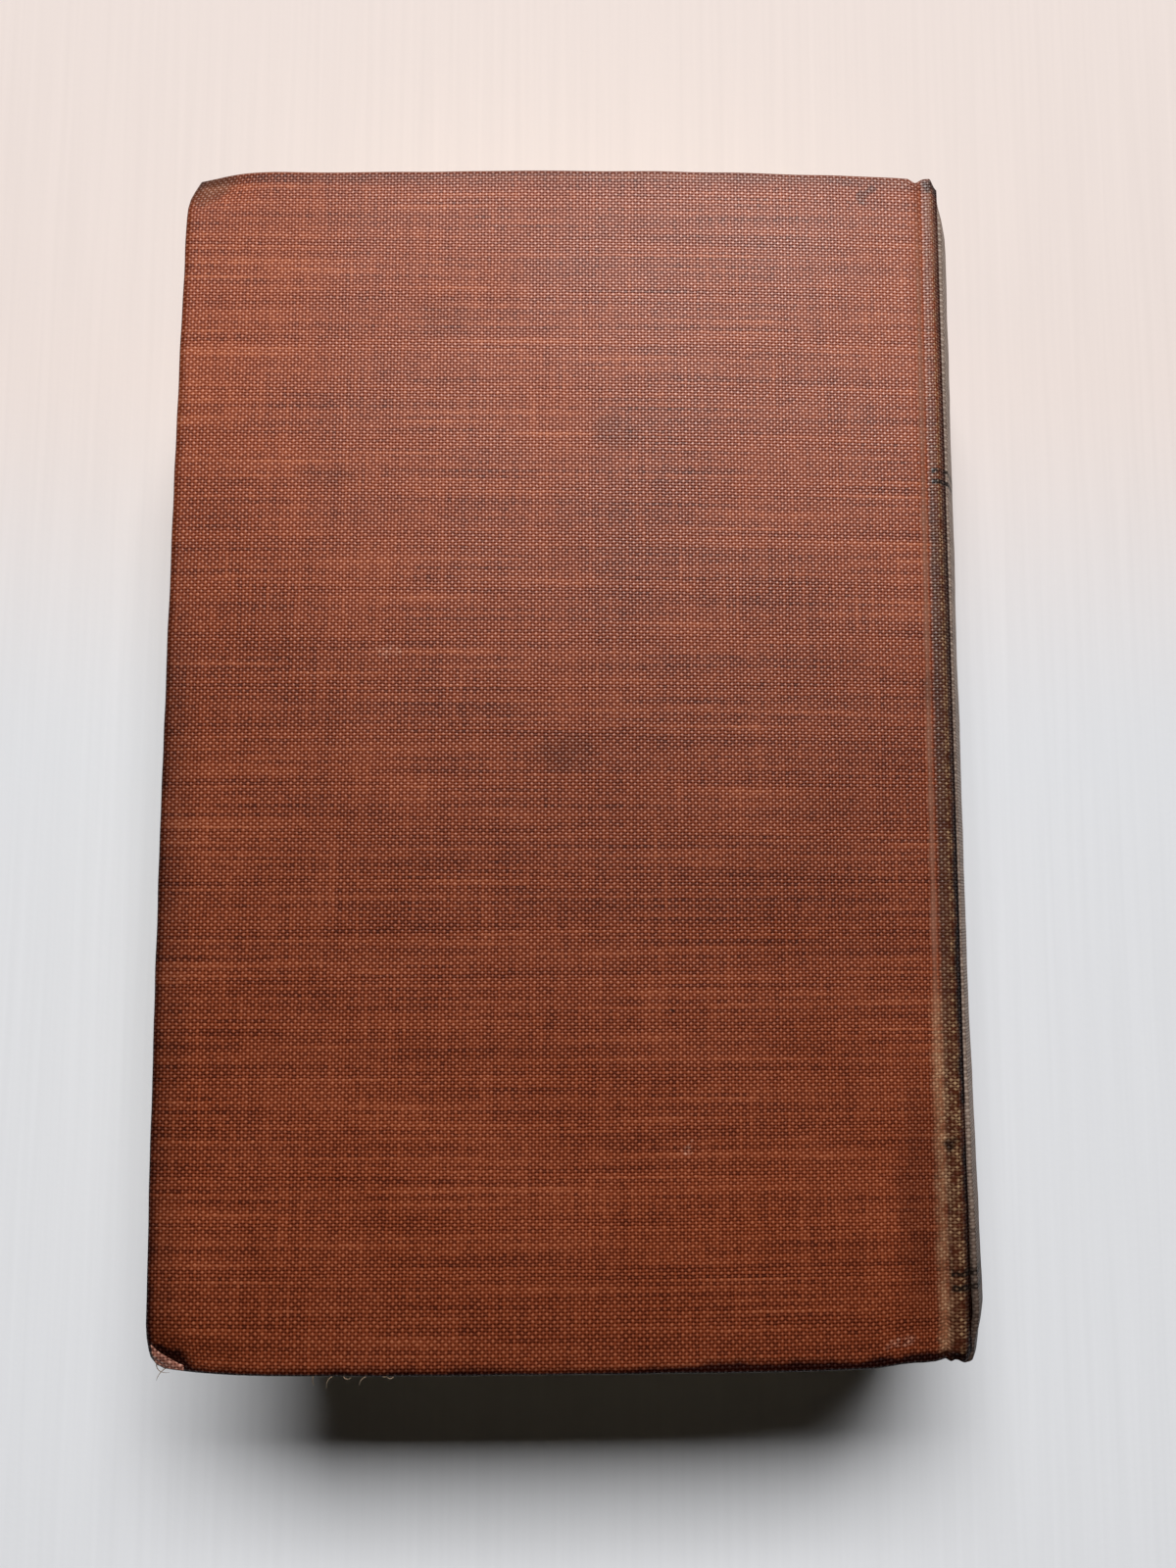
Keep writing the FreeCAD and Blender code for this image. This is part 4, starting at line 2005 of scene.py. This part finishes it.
@dataclass(frozen=True)
class Block:
    """The sewn pages with their flyleaves and what is glued or sewn to their back."""

    sizes: BookSizes
    back_form: CoverForm
    front_form: CoverForm
    finishes: Finishes

    def build(self) -> List[bpy.types.Object]:
        """Builds and dresses the pages, the flyleaves and the spine.

        Returns:
            The pieces, without the carried-over nodes.
        """
        s = self.sizes
        pages = TextBlock(s, self.back_form, self.front_form, "sewn_sections").build()
        dress(pages, self.finishes.pages)
        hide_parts("text_block")
        spine = SpineCloth(s, "spine_cloth_woven").build()
        dress(spine, self.finishes.spine_cloth)
        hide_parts("spine_cloth")
        liner = SpineLiner(s, "spine_card_liner").build()
        dress(liner, self.finishes.card)
        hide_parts("spine_liner")
        pieces = [pages, spine, liner]
        for form, side in ((self.back_form, "back"), (self.front_form, "front")):
            low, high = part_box(f"{side}_flyleaf")
            depth = s.thickness + s.crown - high.z if form.body is Body.BACK else low.z
            spine_x = s.joint_x - 0.4 * MM
            leaf = Leaf(s, form, f"{side}_fly_leaf", depth, spine_x, glued=False).build()
            dress(leaf, self.finishes.endpaper)
            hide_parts(f"{side}_flyleaf")
            pieces.append(leaf)
        for piece in pieces:
            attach(piece, Body.BLOCK.value)
        return pieces

    def dress_nodes(self) -> None:
        """Gives the carried-over nodes their finishes."""
        kept = {
            "spine_lining": self.finishes.kraft,
            "spine_mull": self.finishes.mull,
            "back_mull_flange": self.finishes.mull,
            "front_mull_flange": self.finishes.mull,
            "sewing_thread": self.finishes.thread,
        }
        for name, material in kept.items():
            dress(frame["nodes"][name], material)
            LOG.info("%s keeps its solid", name)


@dataclass(frozen=True)
class Studio:
    """The pale table top, the window light behind the head and the camera over the book."""

    floor_reach: float = 1.6
    lamp_width: float = 4.6
    lamp_height: float = 1.85
    lamp_distance: float = 6.0
    lamp_elevation: float = 50.0  # degrees
    lamp_turn: float = 1.0  # degrees towards the spine
    lamp_power: float = 511.0
    fill: float = 0.008
    camera_place: Tuple[float, float, float] = (-4.575 * MM, -27.002 * MM, 237.228 * MM)
    camera_turn: Tuple[float, float, float] = (5.848, -1.609, 0.033)  # degrees
    lens: float = 27.0

    def build(self) -> None:
        """Builds the floor, the lights and the camera."""
        self.lay_floor()
        self.hang_lamp()
        self.light_world()
        self.place_camera()
        settings = bpy.context.scene.view_settings
        settings.view_transform = "Standard"

    def lay_floor(self) -> None:
        """Lays the table top under the book."""
        bench = Workbench("table_top")
        reach = self.floor_reach
        bench.grid((-reach, -reach), (reach, reach), 4, 4)
        bench.shape(lambda p: Vector((p.x, p.y, -0.02 * MM)))
        g = Graph.of_material("Painted_table_top")
        place = g.add("TexCoord").outputs["Object"]
        grain = g.grain(place, 900.0, 3.0)
        split = g.add("SeparateXYZ", {0: place})
        # Painted light: the table is warmer towards the window behind the head and cooler towards
        # the foot.
        painted_window_warmth = g.span(split.outputs[1], 0.0, 0.09, eased=True)
        colour = g.mix(painted_window_warmth, "#dde0e4", "#e8ddd8")
        along = g.vector("MULTIPLY", place, (700, 12, 1))
        streaks = g.grain(along, 1.0, 3.0)
        tone = g.math("MULTIPLY_ADD", streaks, 0.09, 0.955)
        colour = g.add("VectorMath", {0: colour, "Scale": tone}, operation="SCALE")
        bump = g.add("Bump", {"Height": grain, "Distance": 0.03 * MM, "Strength": 0.5})
        surface = {
            "Base Color": colour,
            "Roughness": 0.8,
            "Specular IOR Level": 0.15,
            "Normal": bump,
        }
        dress(bench.piece, g.finish(surface))

    def hang_lamp(self) -> None:
        """Hangs the wide soft light behind the head of the book."""
        lamp = bpy.data.lights.new("window", "AREA")
        lamp.shape = "RECTANGLE"
        lamp.size, lamp.size_y = self.lamp_width, self.lamp_height
        lamp.energy = self.lamp_power
        lamp.color = linear("#fffdfc")[:3]
        holder = bpy.data.objects.new("window", lamp)
        bpy.context.scene.collection.objects.link(holder)
        rise, turn = math.radians(self.lamp_elevation), math.radians(self.lamp_turn)
        level = math.cos(rise)
        way = Vector((math.sin(turn) * level, math.cos(turn) * level, math.sin(rise)))
        holder.location = way * self.lamp_distance
        holder.rotation_euler = way.to_track_quat("Z", "Y").to_euler()

    def light_world(self) -> None:
        """Sets the low fill light, and the pale background that the camera and gloss see."""
        world = bpy.data.worlds.new("room")
        bpy.context.scene.world = world
        g = Graph(world)
        rays = g.add("LightPath").outputs
        seen = g.math("MAXIMUM", rays["Is Camera Ray"], rays["Is Transmission Ray"])
        fill = g.add("Background", {"Color": "#ffe8e2", "Strength": self.fill})
        pale = g.add("Background", {"Color": "#e4e4e6"})
        g.add("OutputWorld", {"Surface": g.add("MixShader", {0: seen, 1: fill, 2: pale})})

    def place_camera(self) -> None:
        """Places the camera that looks down on the book."""
        camera = bpy.data.cameras.new("camera")
        camera.lens = self.lens
        camera.clip_start = 0.01
        holder = bpy.data.objects.new("camera", camera)
        bpy.context.scene.collection.objects.link(holder)
        holder.location = self.camera_place
        holder.rotation_euler = [math.radians(turn) for turn in self.camera_turn]
        bpy.context.scene.camera = holder


def main() -> None:
    """Builds the book's sub-assemblies in order, then the studio."""
    logging.basicConfig(level=logging.INFO, format="%(name)s: %(message)s")
    back_form = CoverForm(
        SIZES,
        Body.BACK,
        corner_droop=2.5 * MM,
        head_slack=0.75,
        bow=0.75 * MM,
        foot_wear=0.8 * MM,
        dents=0.12 * MM,
        foot_bulge=1.05 * MM,
        head_tip=1.6 * MM,
        head_skew=0.4 * MM,
    )
    front_form = CoverForm(
        SIZES,
        Body.FRONT,
        corner_droop=0.6 * MM,
        head_slack=0.0,
        bow=0.1 * MM,
        foot_wear=0.4 * MM,
        dents=0.05 * MM,
    )
    finishes = Finishes.make()
    back = Cover(SIZES, back_form, finishes, finishes.back_cloth)
    front = Cover(SIZES, front_form, finishes, finishes.front_cloth)
    block = Block(SIZES, back_form, front_form, finishes)
    pieces = block.build() + back.build() + back.build_fray() + front.build()
    block.dress_nodes()
    for piece in pieces:
        piece.data.calc_loop_triangles()
        LOG.info("%s has %d triangles", piece.name, len(piece.data.loop_triangles))
    Studio().build()


if __name__ == "__main__":
    main()
